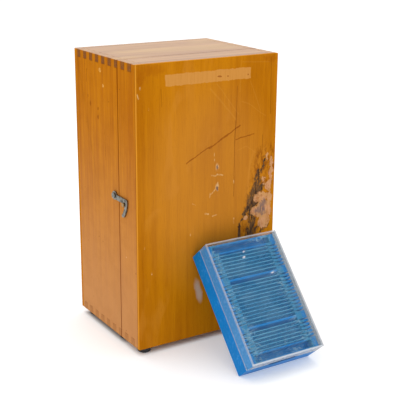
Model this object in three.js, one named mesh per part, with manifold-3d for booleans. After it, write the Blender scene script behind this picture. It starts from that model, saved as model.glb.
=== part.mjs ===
// A cased student microscope with its slide box, in millimetres, +Z up.
//
// A varnished wooden case stands on rubber feet. Its front part is a deep door, hinged on the right and
// held shut by a swing hook on the left. Inside, a small monocular microscope stands on a board. A plastic
// slide box with a clear lid leans against the door.
//
// The origin is on the floor, under the middle of the whole object's outline.

import * as THREE from "three";
import { mergeVertices } from "three/addons/utils/BufferGeometryUtils.js";
import Module from "manifold-3d";

// ---------------------------------------------------------------- driving dimensions

// The case.
const CASE_WIDTH = 183;
const CASE_DEPTH = 151;
const CASE_HEIGHT = 325;
const BOARD = 9; // thickness of the finger-jointed boards
const PANEL = 4.4; // thickness of the plywood front and back
const SEAM_FROM_FRONT = 43.6; // where the door parts from the carcass
const SEAM_GAP = 0.6;
const GLUE_GAP = 0.1; // every glued joint keeps this much between its pieces
const FINGER_WIDTH = 7.5;
const FINGER_PITCH = 15.4;
const FIRST_FINGER = 16; // middle of the first finger, from the front
const FOOT_RADIUS = 7.5;
const FOOT_HEIGHT = 8;
const FOOT_INSET = 13;

// The hinges, on the right-hand side.
const HINGE_HEIGHT = 40;
const HINGE_FROM_END = 60; // middle of a hinge, from the nearer end of the case
const LEAF_WIDTH = 18;
const LEAF_THICKNESS = 1.2;
const KNUCKLE_RADIUS = 2.8;
const KNUCKLES = 5;
const HINGE_PIN_RADIUS = 1.1;
const HINGE_PIN_HEAD = 1.7;
const HINGE_PIN_TAIL = 1.5; // how far the pin shows below its hinge

// The swing hook, on the left-hand side.
const HOOK_THICKNESS = 1.2;
const HOOK_STANDOFF = 1;
const HOOK_PIVOT_BEHIND_SEAM = 8;
const HOOK_PIVOT_HEIGHT = 171.5; // above the case's underside
const HOOK_REACH = 23.1; // pivot to stud, along the case
const HOOK_DROP = 5.3; // the stud sits this much lower than the pivot
const STUD_RADIUS = 1.6;
const STUD_HEAD_RADIUS = 2.7;
const SCREW_HEAD_RADIUS = 3.4;
const SCREW_COLLAR_RADIUS = 3;
const HEAD_THICKNESS = 1.4;

// The slide box, which leans against the door.
const BOX_THICKNESS = 36;
const TRAY_SHOULDER = 19; // height of the tray below the lid's rim
const BOX_LEAN = THREE.MathUtils.degToRad(42);
const BOX_FROM_LEFT = 70; // left side of the box, from the case's left side
const BOX_WALL = 1.8;
const BOX_FLOOR = 2;
const LID_GAP = 0.3;
const LID_ABOVE_COMB = 5.5; // from the top of the tray's comb to the top of the lid
const SLIDE_LENGTH = 76; // a standard glass slide
const SLIDE_GAP = 0.4; // at each end of a slide
const BOX_BESIDE_SLIDE = 10; // from a slide's end to the outside of the box
const BOX_END = 13.4; // from the outermost slot to the end of the box
const SLOT_WIDTH = 1.6;
const SLOT_PITCH = 4.2;
const SLOT_GROUPS = [7, 12, 6]; // slots between the box's partitions
const SLOT_STEP = 1; // above the tray's shoulder, each slot runs right through the comb from this height
const PARTITION = 2.4;
const TOOTH = 5.5; // how far the comb's teeth reach in
const NOTCH_WIDTH = 38; // thumb notch in the lid
const NOTCH_HEIGHT = 3.5;

// The board under the microscope, and its rails.
const STAND_BOARD = 8;
const RAIL_WIDTH = 6;
const RAIL_HEIGHT = 15;
const RAIL_GAP = 1;
const RAIL_FROM_SIDE = 8.5; // from the right-hand rail to the side board
const STAND_MARGIN = 3; // how far the board reaches past the microscope's foot

// The microscope. Heights are above its own foot, and lengths back and forth are from its optical axis.
const SCOPE_FROM_BACK = 10.5; // from its foot to the back panel
const SCOPE_FOOT_WIDTH = 84;
const SCOPE_FOOT_HEIGHT = 13;
const SCOPE_FOOT_FRONT = -50;
const SCOPE_FOOT_BACK = 60;
const PRONG_GAP = 40;
const LIMB_THICKNESS = 16;
const LIMB_FRONT = 34;
const STAGE_TOP = 96;
const STAGE_THICKNESS = 6;
const STAGE_WIDTH = 80;
const STAGE_FRONT = -42;
const STAGE_HOLE = 9;
const CLIP_PIVOT = new THREE.Vector2(28, 20);
const CLIP_LENGTH = 28;
const CLIP_TURN = 0.5; // radians, towards the optical axis
const DISC_RING = 20; // the ring that the disc's openings lie on
const DISC_OPENINGS = [7, 5.5, 4, 2.6, 1.4];
const DISC_MARGIN = 8;
const MIRROR_HEIGHT = 46;
const MIRROR_RADIUS = 18;
const MIRROR_TILT = THREE.MathUtils.degToRad(35);
const TUBE_RADIUS = 12.5;
const TUBE_BORE = 10;
const TUBE_LENGTH = 72;
const WORKING_GAP = 5.7; // from the stage to the longest objective
const PINION_TEETH = 12;
const GEAR_MODULE = 1;
const GEAR_HALF = 5; // half the width of the pinion's slot
const PINION_ABOVE_TUBE_END = 36;
const RACK_STANDOFF = 2.25; // from the tube to the root of the rack's teeth
const RACK_BELOW_TUBE_END = 4;
const RACK_LENGTH = 66;
const RACK_HALF = 4.4;
const CARRIAGE_BELOW_PINION = 24;
const CARRIAGE_ABOVE_PINION = 26;
const CARRIAGE_DEPTH = 13.9;
const CARRIAGE_HALF = 13;
const GUIDE_WIDTH = 4; // the carriage's guides, on either side of the rack
const COARSE_KNOB_RADIUS = 12;
const COARSE_KNOB_WIDTH = 11;
const FINE_KNOB_RADIUS = 9.5;
const FINE_KNOB_WIDTH = 10;
const FINE_SPINDLE_BEHIND = 56;
const FINE_SPINDLE_ABOVE_STAGE = 50;
const BOW_HALF = 10; // half the depth of the limb's bow
const SHAFT_RADIUS = 2.6;
const SHAFT_END = 2.4; // from a shaft's end to its knob's outer face
const RUNNING_GAP = 0.4;
const FIT_GAP = 0.3;
const TURRET_TILT = THREE.MathUtils.degToRad(16);
const APEX_ABOVE_TUBE_END = 34; // the apex is where the turret's axis meets the optical axis
const TURRET_TOP = 43; // from the apex to the turret's upper face
const TURRET_RADIUS = 26;
const MOUNT_THICKNESS = 5;
const NECK_LENGTH = 7;
const SHOULDER_DISTANCE = 52; // from the apex to an objective's shoulder
const LIGHT_BORE = 7;
const BARREL_RADIUS = 8.2;
const COLLAR_RADIUS = 9.6;
const COLLAR_LENGTH = 4;
const EYEPIECE_BARREL = 14;
const EYEPIECE_HEIGHT = 22;
const LENS_RADIUS = 7.4;
const OBJECTIVES = [
  { name: "objective_high", length: 40, tip: 3.2 },
  { name: "objective_low", length: 20, tip: 6.2 },
  { name: "objective_medium", length: 28, tip: 4.8 },
];

// ---------------------------------------------------------------- values worked out from them

const HALF_WIDTH = CASE_WIDTH / 2;
const CASE_BOTTOM = FOOT_HEIGHT;
const CASE_TOP = FOOT_HEIGHT + CASE_HEIGHT;
const INSIDE_BOTTOM = CASE_BOTTOM + BOARD;
const DOOR_BACK = SEAM_FROM_FRONT - SEAM_GAP / 2;
const CARCASS_FRONT = SEAM_FROM_FRONT + SEAM_GAP / 2;
const CARCASS_BACK = CASE_DEPTH - PANEL - GLUE_GAP;
const HINGE_X = HALF_WIDTH + KNUCKLE_RADIUS + 0.2;
const SLOT_COUNT = SLOT_GROUPS.reduce((sum, count) => sum + count, 0);
const PARTITION_SPACE = PARTITION + SLOT_PITCH; // from one group of slots to the next
const SLOT_RUN = SLOT_COUNT * SLOT_PITCH + (SLOT_GROUPS.length - 1) * PARTITION_SPACE;
const BOX_WIDTH = SLIDE_LENGTH + 2 * BOX_BESIDE_SLIDE;
const BOX_LENGTH = SLOT_RUN + 2 * BOX_END;
const COMB_TOP = BOX_THICKNESS - LID_ABOVE_COMB;
const BOX_REACH = BOX_LENGTH * Math.sin(BOX_LEAN) + BOX_THICKNESS * Math.cos(BOX_LEAN);
const STAND_HALF = SCOPE_FOOT_WIDTH / 2 + STAND_MARGIN;
const STAND_RIGHT = HALF_WIDTH - BOARD - RAIL_FROM_SIDE - RAIL_WIDTH - RAIL_GAP;
const SCOPE_X = STAND_RIGHT - STAND_HALF;
const SCOPE_Y = CARCASS_BACK - SCOPE_FROM_BACK - SCOPE_FOOT_BACK;
const SCOPE_BOTTOM = INSIDE_BOTTOM + FIT_GAP + STAND_BOARD + FIT_GAP;
const LONGEST_OBJECTIVE = Math.max(...OBJECTIVES.map(({ length }) => length));
const OBJECTIVE_TOP = STAGE_TOP + WORKING_GAP + LONGEST_OBJECTIVE;
const TURRET_APEX = OBJECTIVE_TOP + FIT_GAP + SHOULDER_DISTANCE;
const TUBE_BOTTOM = TURRET_APEX - APEX_ABOVE_TUBE_END;
const TUBE_TOP = TUBE_BOTTOM + TUBE_LENGTH;
const RACK_BOTTOM = TUBE_BOTTOM - RACK_BELOW_TUBE_END;
const RACK_FACE = TUBE_RADIUS + RACK_STANDOFF;
const PITCH_RADIUS = (GEAR_MODULE * PINION_TEETH) / 2;
const TOOTH_ROOT = 1.25 * GEAR_MODULE;
const TOOTH_TIP = 0.9 * GEAR_MODULE;
const TOOTH_HALF = 0.56 * GEAR_MODULE; // half a tooth's thickness at the pitch line
const PINION_HEIGHT = TUBE_BOTTOM + PINION_ABOVE_TUBE_END;
const PINION_BACK = RACK_FACE + TOOTH_ROOT + PITCH_RADIUS; // behind the optical axis
const CARRIAGE_FRONT = RACK_FACE + TOOTH_ROOT + GEAR_MODULE + FIT_GAP;
const CARRIAGE_BACK = CARRIAGE_FRONT + CARRIAGE_DEPTH;
const CARRIAGE_BOTTOM = PINION_HEIGHT - CARRIAGE_BELOW_PINION;
const CARRIAGE_TOP = PINION_HEIGHT + CARRIAGE_ABOVE_PINION;
const LIMB_HEAD_FRONT = CARRIAGE_BACK + FIT_GAP;
const FINE_SPINDLE_HEIGHT = STAGE_TOP + FINE_SPINDLE_ABOVE_STAGE;

// ---------------------------------------------------------------- materials

const finish = (color, roughness, metalness = 0, extra = {}) =>
  new THREE.MeshStandardMaterial({ color, roughness, metalness, ...extra });
const WOOD = finish(0xb8722c, 0.38);
const INNER_WOOD = finish(0xc99a62, 0.6);
const RUBBER = finish(0x161616, 0.8);
const STEEL = finish(0x6d6f70, 0.45, 0.9);
const BLUE_PLASTIC = finish(0x0a72b8, 0.4);
const CLEAR_PLASTIC = finish(0xdfe8ee, 0.15, 0, {
  transparent: true,
  opacity: 0.35,
});
const ENAMEL = finish(0x101112, 0.25);
const CHROME = finish(0xc9ccce, 0.2, 1);
const BRASS = finish(0xb08b45, 0.3, 1);
const GLASS = finish(0xbfd4da, 0.05, 0, { transparent: true, opacity: 0.4 });
const MIRROR = finish(0xe6eaec, 0.03, 1);

// ---------------------------------------------------------------- helpers

const wasm = await Module();
wasm.setup();

function solid(geometry) {
  const bare = geometry.clone();
  bare.deleteAttribute("normal");
  bare.deleteAttribute("uv");
  const merged = mergeVertices(bare, 1e-4);
  return new wasm.Manifold(
    new wasm.Mesh({
      numProp: 3,
      vertProperties: merged.attributes.position.array,
      triVerts: new Uint32Array(merged.index.array),
    }),
  );
}

function geometryOf(made) {
  const mesh = made.getMesh();
  const geometry = new THREE.BufferGeometry();
  geometry.setAttribute(
    "position",
    new THREE.BufferAttribute(new Float32Array(mesh.vertProperties), 3),
  );
  geometry.setIndex(new THREE.BufferAttribute(new Uint32Array(mesh.triVerts), 1));
  geometry.computeVertexNormals();
  return geometry;
}

const join = (...pieces) =>
  geometryOf(pieces.map(solid).reduce((whole, piece) => whole.add(piece)));
const cut = (body, ...tools) =>
  geometryOf(tools.map(solid).reduce((left, tool) => left.subtract(tool), solid(body)));

// A box between two corners.
function box(x0, x1, y0, y1, z0, z1) {
  return new THREE.BoxGeometry(x1 - x0, y1 - y0, z1 - z0).translate(
    (x0 + x1) / 2,
    (y0 + y1) / 2,
    (z0 + z1) / 2,
  );
}

// A cylinder along X, Y or Z, from one coordinate to another on that axis, through the point given.
function rod(axis, from, to, radius, centre = [0, 0, 0], sides = 20) {
  const made = new THREE.CylinderGeometry(radius, radius, to - from, sides);
  if (axis === "x") made.rotateZ(Math.PI / 2);
  if (axis === "z") made.rotateX(Math.PI / 2);
  const middle = { x: 0, y: 1, z: 2 }[axis];
  const place = [...centre];
  place[middle] = (from + to) / 2;
  return made.translate(...place);
}

// A turned shape about Z, from [radius, height] pairs.
function turned(profile, sides = 24) {
  const points = profile.map(([r, h]) => new THREE.Vector2(r, h));
  return new THREE.LatheGeometry(points, sides).rotateX(Math.PI / 2);
}

// An outline in the Y-Z plane, extruded along X between two places.
function plateAcross(shape, x0, x1, bevel = 0) {
  const options = {
    depth: x1 - x0 - 2 * bevel,
    bevelEnabled: bevel > 0,
    bevelSize: bevel,
    bevelThickness: bevel,
    bevelOffset: -bevel,
    bevelSegments: 1,
    curveSegments: 8,
  };
  return new THREE.ExtrudeGeometry(shape, options)
    .rotateX(Math.PI / 2)
    .rotateZ(Math.PI / 2)
    .translate(x0 + bevel, 0, 0);
}

// An outline in the X-Y plane, extruded up between two heights.
function plateFlat(shape, z0, z1, bevel = 0) {
  const options = {
    depth: z1 - z0 - 2 * bevel,
    bevelEnabled: bevel > 0,
    bevelSize: bevel,
    bevelThickness: bevel,
    bevelOffset: -bevel,
    bevelSegments: 1,
    curveSegments: 8,
  };
  return new THREE.ExtrudeGeometry(shape, options).translate(0, 0, z0 + bevel);
}

function place(group, name, geometry, material) {
  const mesh = new THREE.Mesh(geometry, material);
  mesh.name = name;
  group.add(mesh);
  return mesh;
}

// ---------------------------------------------------------------- the case

// Where the top and bottom boards' fingers lie between two depths.
function fingersBetween(front, back) {
  const found = [];
  for (let middle = FIRST_FINGER; middle < CASE_DEPTH; middle += FINGER_PITCH) {
    const from = Math.max(middle - FINGER_WIDTH / 2, front);
    const to = Math.min(middle + FINGER_WIDTH / 2, back);
    if (to - from > 1) found.push([from, to]);
  }
  return found;
}

// A top or bottom board, whose fingers reach through the side boards.
function fingeredBoard(front, back, z0) {
  const inner = HALF_WIDTH - BOARD - GLUE_GAP;
  const pieces = [box(-inner, inner, front, back, z0, z0 + BOARD)];
  for (const [from, to] of fingersBetween(front, back))
    pieces.push(box(-HALF_WIDTH, HALF_WIDTH, from, to, z0, z0 + BOARD));
  return join(...pieces);
}

// A side board, notched for those fingers at both ends.
function notchedSide(front, back, left) {
  const x0 = left ? -HALF_WIDTH : HALF_WIDTH - BOARD;
  const x1 = x0 + BOARD;
  const depth = BOARD + GLUE_GAP;
  const notches = [];
  for (const [from, to] of fingersBetween(front, back)) {
    const opensFront = from <= front ? 1 : GLUE_GAP;
    const y0 = from - opensFront;
    const y1 = to + GLUE_GAP;
    notches.push(box(x0 - 1, x1 + 1, y0, y1, CASE_BOTTOM - 1, CASE_BOTTOM + depth));
    notches.push(box(x0 - 1, x1 + 1, y0, y1, CASE_TOP - depth, CASE_TOP + 1));
  }
  return cut(box(x0, x1, front, back, CASE_BOTTOM, CASE_TOP), ...notches);
}

function addBoards(group, prefix, front, back) {
  place(group, prefix + "_left_side", notchedSide(front, back, true), WOOD);
  place(group, prefix + "_right_side", notchedSide(front, back, false), WOOD);
  place(group, prefix + "_top", fingeredBoard(front, back, CASE_TOP - BOARD), WOOD);
  place(group, prefix + "_bottom", fingeredBoard(front, back, CASE_BOTTOM), WOOD);
}

function addPanel(group, name, front) {
  const panel = box(-HALF_WIDTH, HALF_WIDTH, front, front + PANEL, CASE_BOTTOM, CASE_TOP);
  place(group, name, panel, WOOD);
}

function addFeet(group) {
  const rows = {
    door: FOOT_INSET,
    middle: CARCASS_FRONT + FOOT_INSET,
    rear: CASE_DEPTH - FOOT_INSET,
  };
  for (const [row, y] of Object.entries(rows))
    for (const [side, sign] of [["left", -1], ["right", 1]]) {
      const foot = turned([
        [0, 0],
        [FOOT_RADIUS - 1, 0],
        [FOOT_RADIUS, 1],
        [FOOT_RADIUS, FOOT_HEIGHT - GLUE_GAP],
        [0, FOOT_HEIGHT - GLUE_GAP],
      ]);
      foot.translate(sign * (HALF_WIDTH - FOOT_INSET), y, 0);
      place(group, `foot_${row}_${side}`, foot, RUBBER);
    }
}

// One leaf of a butt hinge: a plate on the case's side, with tabs and knuckles at every other place.
function hingeLeaf(middle, towards, first) {
  const seam = SEAM_FROM_FRONT;
  const x0 = HALF_WIDTH + GLUE_GAP;
  const x1 = x0 + LEAF_THICKNESS;
  const near = KNUCKLE_RADIUS + FIT_GAP;
  const bottom = middle - HINGE_HEIGHT / 2;
  const step = HINGE_HEIGHT / KNUCKLES;
  const sorted = (a, b) => [Math.min(a, b), Math.max(a, b)];
  const plateY = sorted(seam + towards * near, seam + towards * (near + LEAF_WIDTH));
  const tabY = sorted(seam, seam + towards * (near + 1));
  const pieces = [box(x0, x1, ...plateY, bottom, bottom + HINGE_HEIGHT)];
  const bores = [];
  for (let k = first; k < KNUCKLES; k += 2) {
    const z0 = bottom + k * step + FIT_GAP / 2;
    const z1 = bottom + (k + 1) * step - FIT_GAP / 2;
    const centre = [HINGE_X, seam, 0];
    pieces.push(box(x0, x1, ...tabY, z0, z1));
    pieces.push(rod("z", z0, z1, KNUCKLE_RADIUS, centre, 16));
    bores.push(rod("z", z0 - 1, z1 + 1, HINGE_PIN_RADIUS + RUNNING_GAP, centre, 12));
  }
  return cut(join(...pieces), ...bores);
}

function addHinges(caseGroup) {
  const heights = {
    lower: CASE_BOTTOM + HINGE_FROM_END,
    upper: CASE_TOP - HINGE_FROM_END,
  };
  for (const [which, middle] of Object.entries(heights)) {
    const half = HINGE_HEIGHT / 2;
    place(caseGroup, `hinge_${which}_case_leaf`, hingeLeaf(middle, 1, 0), STEEL);
    place(caseGroup, `hinge_${which}_door_leaf`, hingeLeaf(middle, -1, 1), STEEL);
    const head = half + FIT_GAP;
    const pin = turned(
      [
        [0, -half - HINGE_PIN_TAIL],
        [HINGE_PIN_RADIUS, -half - HINGE_PIN_TAIL],
        [HINGE_PIN_RADIUS, head],
        [KNUCKLE_RADIUS - 0.4, head],
        [KNUCKLE_RADIUS - 0.8, head + HINGE_PIN_HEAD - 0.2],
        [0, head + HINGE_PIN_HEAD],
      ],
      12,
    ).translate(HINGE_X, SEAM_FROM_FRONT, middle);
    place(caseGroup, `hinge_${which}_pin`, pin, STEEL);
  }
}

// ---------------------------------------------------------------- the swing hook

// The hook's outline, with the pivot at its origin. Across is forwards, and up is up. The tail follows an
// arc about the pivot, so that it clears the stud as the hook is lifted.
function hookOutline() {
  const toStud = Math.hypot(HOOK_REACH, HOOK_DROP);
  const inner = toStud + STUD_RADIUS + RUNNING_GAP;
  const outer = inner + 4.6;
  const eye = 5;
  const armTop = 1.6;
  const armBottom = -4.2;
  const onArc = (radius, up) => Math.sqrt(radius * radius - up * up);
  const tailEnd = -18.5;
  const shape = new THREE.Shape();
  const eyeEnd = Math.asin(armTop / eye);
  const eyeStart = Math.asin(armBottom / eye);
  shape.moveTo(eye * Math.cos(eyeEnd), armTop);
  shape.absarc(0, 0, eye, eyeEnd, 2 * Math.PI + eyeStart, false);
  shape.lineTo(HOOK_REACH - STUD_RADIUS - 2.2, armBottom);
  shape.quadraticCurveTo(
    HOOK_REACH - STUD_RADIUS - RUNNING_GAP,
    -HOOK_DROP + STUD_RADIUS + RUNNING_GAP,
    HOOK_REACH,
    -HOOK_DROP + STUD_RADIUS + RUNNING_GAP,
  );
  const notchEnd = Math.asin((-HOOK_DROP + 0.6) / inner);
  const tailAngle = Math.asin(tailEnd / inner);
  shape.absarc(0, 0, inner, notchEnd, tailAngle, true);
  shape.quadraticCurveTo(
    onArc(inner, tailEnd) - 0.2,
    tailEnd - 3.4,
    onArc(outer, tailEnd - 1.4),
    tailEnd - 1.4,
  );
  shape.absarc(0, 0, outer, Math.asin((tailEnd - 1.4) / outer), Math.asin(-2 / outer), false);
  shape.quadraticCurveTo(outer, armTop, outer - 3, armTop);
  return shape;
}

function addLatch(group) {
  const surface = -HALF_WIDTH - GLUE_GAP;
  const pivotY = SEAM_FROM_FRONT + HOOK_PIVOT_BEHIND_SEAM;
  const pivotZ = CASE_BOTTOM + HOOK_PIVOT_HEIGHT;
  const far = -HALF_WIDTH - HOOK_STANDOFF - HOOK_THICKNESS;
  const headTop = far - FIT_GAP - HEAD_THICKNESS;
  const hook = plateAcross(hookOutline(), 0, HOOK_THICKNESS)
    .rotateZ(Math.PI)
    .translate(-HALF_WIDTH - HOOK_STANDOFF, pivotY, pivotZ);
  const pivot = [0, pivotY, pivotZ];
  const bore = rod("x", far - 1, surface, STUD_RADIUS + RUNNING_GAP, pivot, 16);
  place(group, "latch_hook", cut(hook, bore), STEEL);

  // The pivot screw has a collar under the hook and a head over it.
  const screw = join(
    rod("x", -HALF_WIDTH - HOOK_STANDOFF + FIT_GAP, surface, SCREW_COLLAR_RADIUS, pivot),
    rod("x", headTop, surface, STUD_RADIUS, pivot),
    rod("x", headTop, far - FIT_GAP, SCREW_HEAD_RADIUS, pivot),
  );
  place(group, "latch_pivot_screw", screw, STEEL);

  const stud = [0, pivotY - HOOK_REACH, pivotZ - HOOK_DROP];
  const studPiece = join(
    rod("x", headTop, surface, STUD_RADIUS, stud),
    rod("x", headTop, far - FIT_GAP, STUD_HEAD_RADIUS, stud),
  );
  place(group, "latch_stud", studPiece, BRASS);
}

// ---------------------------------------------------------------- the board and rails inside

function addStand(group) {
  const floor = INSIDE_BOTTOM + GLUE_GAP;
  const back = CARCASS_BACK - FIT_GAP;
  const front = SCOPE_Y + SCOPE_FOOT_FRONT - 2;
  const under = INSIDE_BOTTOM + FIT_GAP;
  const left = SCOPE_X - STAND_HALF;
  const board = box(left, STAND_RIGHT, front, back - 1, under, under + STAND_BOARD);
  place(group, "stand_board", board, INNER_WOOD);
  for (const [side, sign] of [["left", -1], ["right", 1]]) {
    const near = SCOPE_X + sign * (STAND_HALF + RAIL_GAP);
    const ends = [near, near + sign * RAIL_WIDTH].sort((a, b) => a - b);
    const rail = box(...ends, CARCASS_FRONT + 1, back, floor, floor + RAIL_HEIGHT);
    place(group, `rail_${side}`, rail, INNER_WOOD);
  }
}

// ---------------------------------------------------------------- the slide box

// Its own frame: X across, Y up the box's length, Z out of the lid.
function addSlideBox(holder) {
  const half = BOX_WIDTH / 2;
  const inset = BOX_WALL + LID_GAP;
  const slotHalf = SLIDE_LENGTH / 2 + SLIDE_GAP;
  const body = join(
    box(-half, half, 0, BOX_LENGTH, 0, TRAY_SHOULDER),
    box(-half + inset, half - inset, inset, BOX_LENGTH - inset, 1, COMB_TOP),
  );
  const wellHalf = slotHalf - TOOTH;
  const tools = [];
  const over = COMB_TOP + 1;
  const toPartition = (PARTITION_SPACE - PARTITION) / 2;
  const last = SLOT_GROUPS.length - 1;
  let y = BOX_LENGTH - BOX_END;
  SLOT_GROUPS.forEach((count, group) => {
    const end = y - count * SLOT_PITCH;
    const wellTop = group === 0 ? y : y + toPartition;
    const wellEnd = group === last ? end : end - toPartition;
    tools.push(box(-wellHalf, wellHalf, wellEnd, wellTop, BOX_FLOOR, over));
    for (let k = 0; k < count; k++) {
      const from = y - (k + 0.5) * SLOT_PITCH - SLOT_WIDTH / 2;
      const to = from + SLOT_WIDTH;
      tools.push(box(-slotHalf, slotHalf, from, to, BOX_FLOOR + 1, over));
      tools.push(box(-half, half, from, to, TRAY_SHOULDER + SLOT_STEP, over));
    }
    y = end - PARTITION_SPACE;
  });
  // Each end has a shallow well.
  const endWell = BOX_END - inset - 2 * BOX_WALL;
  for (const from of [inset + BOX_WALL, BOX_LENGTH - inset - BOX_WALL - endWell])
    tools.push(box(-slotHalf, slotHalf, from, from + endWell, TRAY_SHOULDER, over));
  place(holder, "slide_tray", cut(body, ...tools), BLUE_PLASTIC);

  const rim = TRAY_SHOULDER + LID_GAP;
  const within = half - BOX_WALL;
  const notch = NOTCH_WIDTH / 2;
  const lid = cut(
    box(-half, half, 0, BOX_LENGTH, rim, BOX_THICKNESS),
    box(-within, within, BOX_WALL, BOX_LENGTH - BOX_WALL, rim - 1, BOX_THICKNESS - BOX_WALL),
    box(-notch, notch, -1, BOX_WALL + 1, rim - 1, rim + NOTCH_HEIGHT),
  );
  place(holder, "slide_lid", lid, CLEAR_PLASTIC);
}

// ---------------------------------------------------------------- the microscope

function footOutline() {
  const half = SCOPE_FOOT_WIDTH / 2;
  const gap = PRONG_GAP / 2;
  const front = SCOPE_FOOT_FRONT;
  const back = SCOPE_FOOT_BACK;
  const slotEnd = 14 - gap;
  const nose = (half - gap) / 2;
  const corner = 26;
  const shape = new THREE.Shape();
  shape.moveTo(-half, front + nose);
  shape.absarc(-half + nose, front + nose, nose, Math.PI, 2 * Math.PI, false);
  shape.lineTo(-gap, slotEnd);
  shape.absarc(0, slotEnd, gap, Math.PI, 0, true);
  shape.lineTo(gap, front + nose);
  shape.absarc(half - nose, front + nose, nose, Math.PI, 2 * Math.PI, false);
  shape.lineTo(half, back - corner);
  shape.absarc(half - corner, back - corner, corner, 0, Math.PI / 2, false);
  shape.absarc(-half + corner, back - corner, corner, Math.PI / 2, Math.PI, false);
  return shape;
}

// The limb's side view: a pillar, a bow behind the stage, and a head for the focusing slide.
function limbOutline() {
  const foot = SCOPE_FOOT_HEIGHT + FIT_GAP;
  const bowInner = FINE_SPINDLE_BEHIND - BOW_HALF;
  const bowOuter = FINE_SPINDLE_BEHIND + BOW_HALF;
  const low = STAGE_TOP + 8;
  const high = FINE_SPINDLE_HEIGHT + 8;
  const headTop = CARRIAGE_TOP + 3;
  const shape = new THREE.Shape();
  shape.moveTo(LIMB_FRONT, foot);
  shape.lineTo(LIMB_FRONT + 24, foot);
  shape.lineTo(LIMB_FRONT + 24, low - 8);
  shape.bezierCurveTo(LIMB_FRONT + 24, low + 10, bowOuter, low + 12, bowOuter, low + 28);
  shape.lineTo(bowOuter, high + 4);
  shape.bezierCurveTo(bowOuter, high + 44, bowOuter - 8, headTop - 3, bowOuter - 22, headTop);
  shape.lineTo(LIMB_HEAD_FRONT, headTop);
  shape.lineTo(LIMB_HEAD_FRONT, high + 16);
  shape.bezierCurveTo(LIMB_HEAD_FRONT + 8, high + 14, bowInner, high + 8, bowInner, high - 2);
  shape.lineTo(bowInner, low + 24);
  shape.bezierCurveTo(bowInner, low + 12, LIMB_FRONT, low + 12, LIMB_FRONT, low);
  return shape;
}

function addStandParts(scope) {
  place(scope, "scope_foot", plateFlat(footOutline(), 0, SCOPE_FOOT_HEIGHT, 1.5), ENAMEL);
  const half = LIMB_THICKNESS / 2;
  const spindle = [0, FINE_SPINDLE_BEHIND, FINE_SPINDLE_HEIGHT];
  const limb = cut(
    plateAcross(limbOutline(), -half, half, 1.5),
    rod("x", -half - 1, half + 1, SHAFT_RADIUS + RUNNING_GAP, spindle, 16),
  );
  place(scope, "scope_limb", limb, ENAMEL);

  const bottom = STAGE_TOP - STAGE_THICKNESS;
  const back = LIMB_FRONT - FIT_GAP;
  const stage = cut(
    join(
      box(-STAGE_WIDTH / 2, STAGE_WIDTH / 2, STAGE_FRONT, back, bottom, STAGE_TOP),
      box(-12, 12, back - 14, back, bottom - 10, bottom + 1),
    ),
    rod("z", bottom - 1, STAGE_TOP + 1, STAGE_HOLE),
  );
  place(scope, "stage_plate", stage, ENAMEL);
}

// Each clip is a knurled post with a flat spring arm that points forwards and in.
function addClips(scope) {
  for (const [side, sign] of [["left", -1], ["right", 1]]) {
    const arm = new THREE.Shape();
    arm.moveTo(-3, 0);
    arm.lineTo(-2.2, 2 - CLIP_LENGTH);
    arm.absarc(0, -CLIP_LENGTH, 3, Math.PI, 2 * Math.PI, false);
    arm.lineTo(3, 0);
    arm.lineTo(0, 3);
    const low = STAGE_TOP + 1;
    const clip = join(
      plateFlat(arm, low, low + 0.8).rotateZ(-sign * CLIP_TURN),
      rod("z", STAGE_TOP + FIT_GAP, low + 4, 3.4),
    ).translate(sign * CLIP_PIVOT.x, CLIP_PIVOT.y, 0);
    place(scope, `stage_clip_${side}`, clip, CHROME);
  }
}

// A disc with five openings, which turns under the stage on a screw.
function addDiaphragm(scope) {
  const under = STAGE_TOP - STAGE_THICKNESS;
  const top = under - 1.5;
  const bottom = top - 2;
  const screwRadius = 1.8;
  const openings = DISC_OPENINGS.map((radius, k) => {
    const angle = Math.PI / 2 + (k * 2 * Math.PI) / DISC_OPENINGS.length;
    const centre = [DISC_RING * Math.cos(angle), DISC_RING * Math.sin(angle), 0];
    return rod("z", bottom - 1, top + 1, radius, centre, 16);
  });
  const disc = cut(
    rod("z", bottom, top, DISC_RING + DISC_MARGIN, [0, 0, 0], 36),
    rod("z", bottom - 1, top + 1, screwRadius + 0.5, [0, 0, 0], 12),
    ...openings,
  ).translate(0, -DISC_RING, 0);
  place(scope, "diaphragm_disc", disc, ENAMEL);
  const screw = join(
    rod("z", bottom - 3, bottom - FIT_GAP, 5, [0, -DISC_RING, 0]),
    rod("z", bottom - 3, under - FIT_GAP, screwRadius, [0, -DISC_RING, 0], 12),
  );
  place(scope, "diaphragm_screw", screw, CHROME);
}

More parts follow.
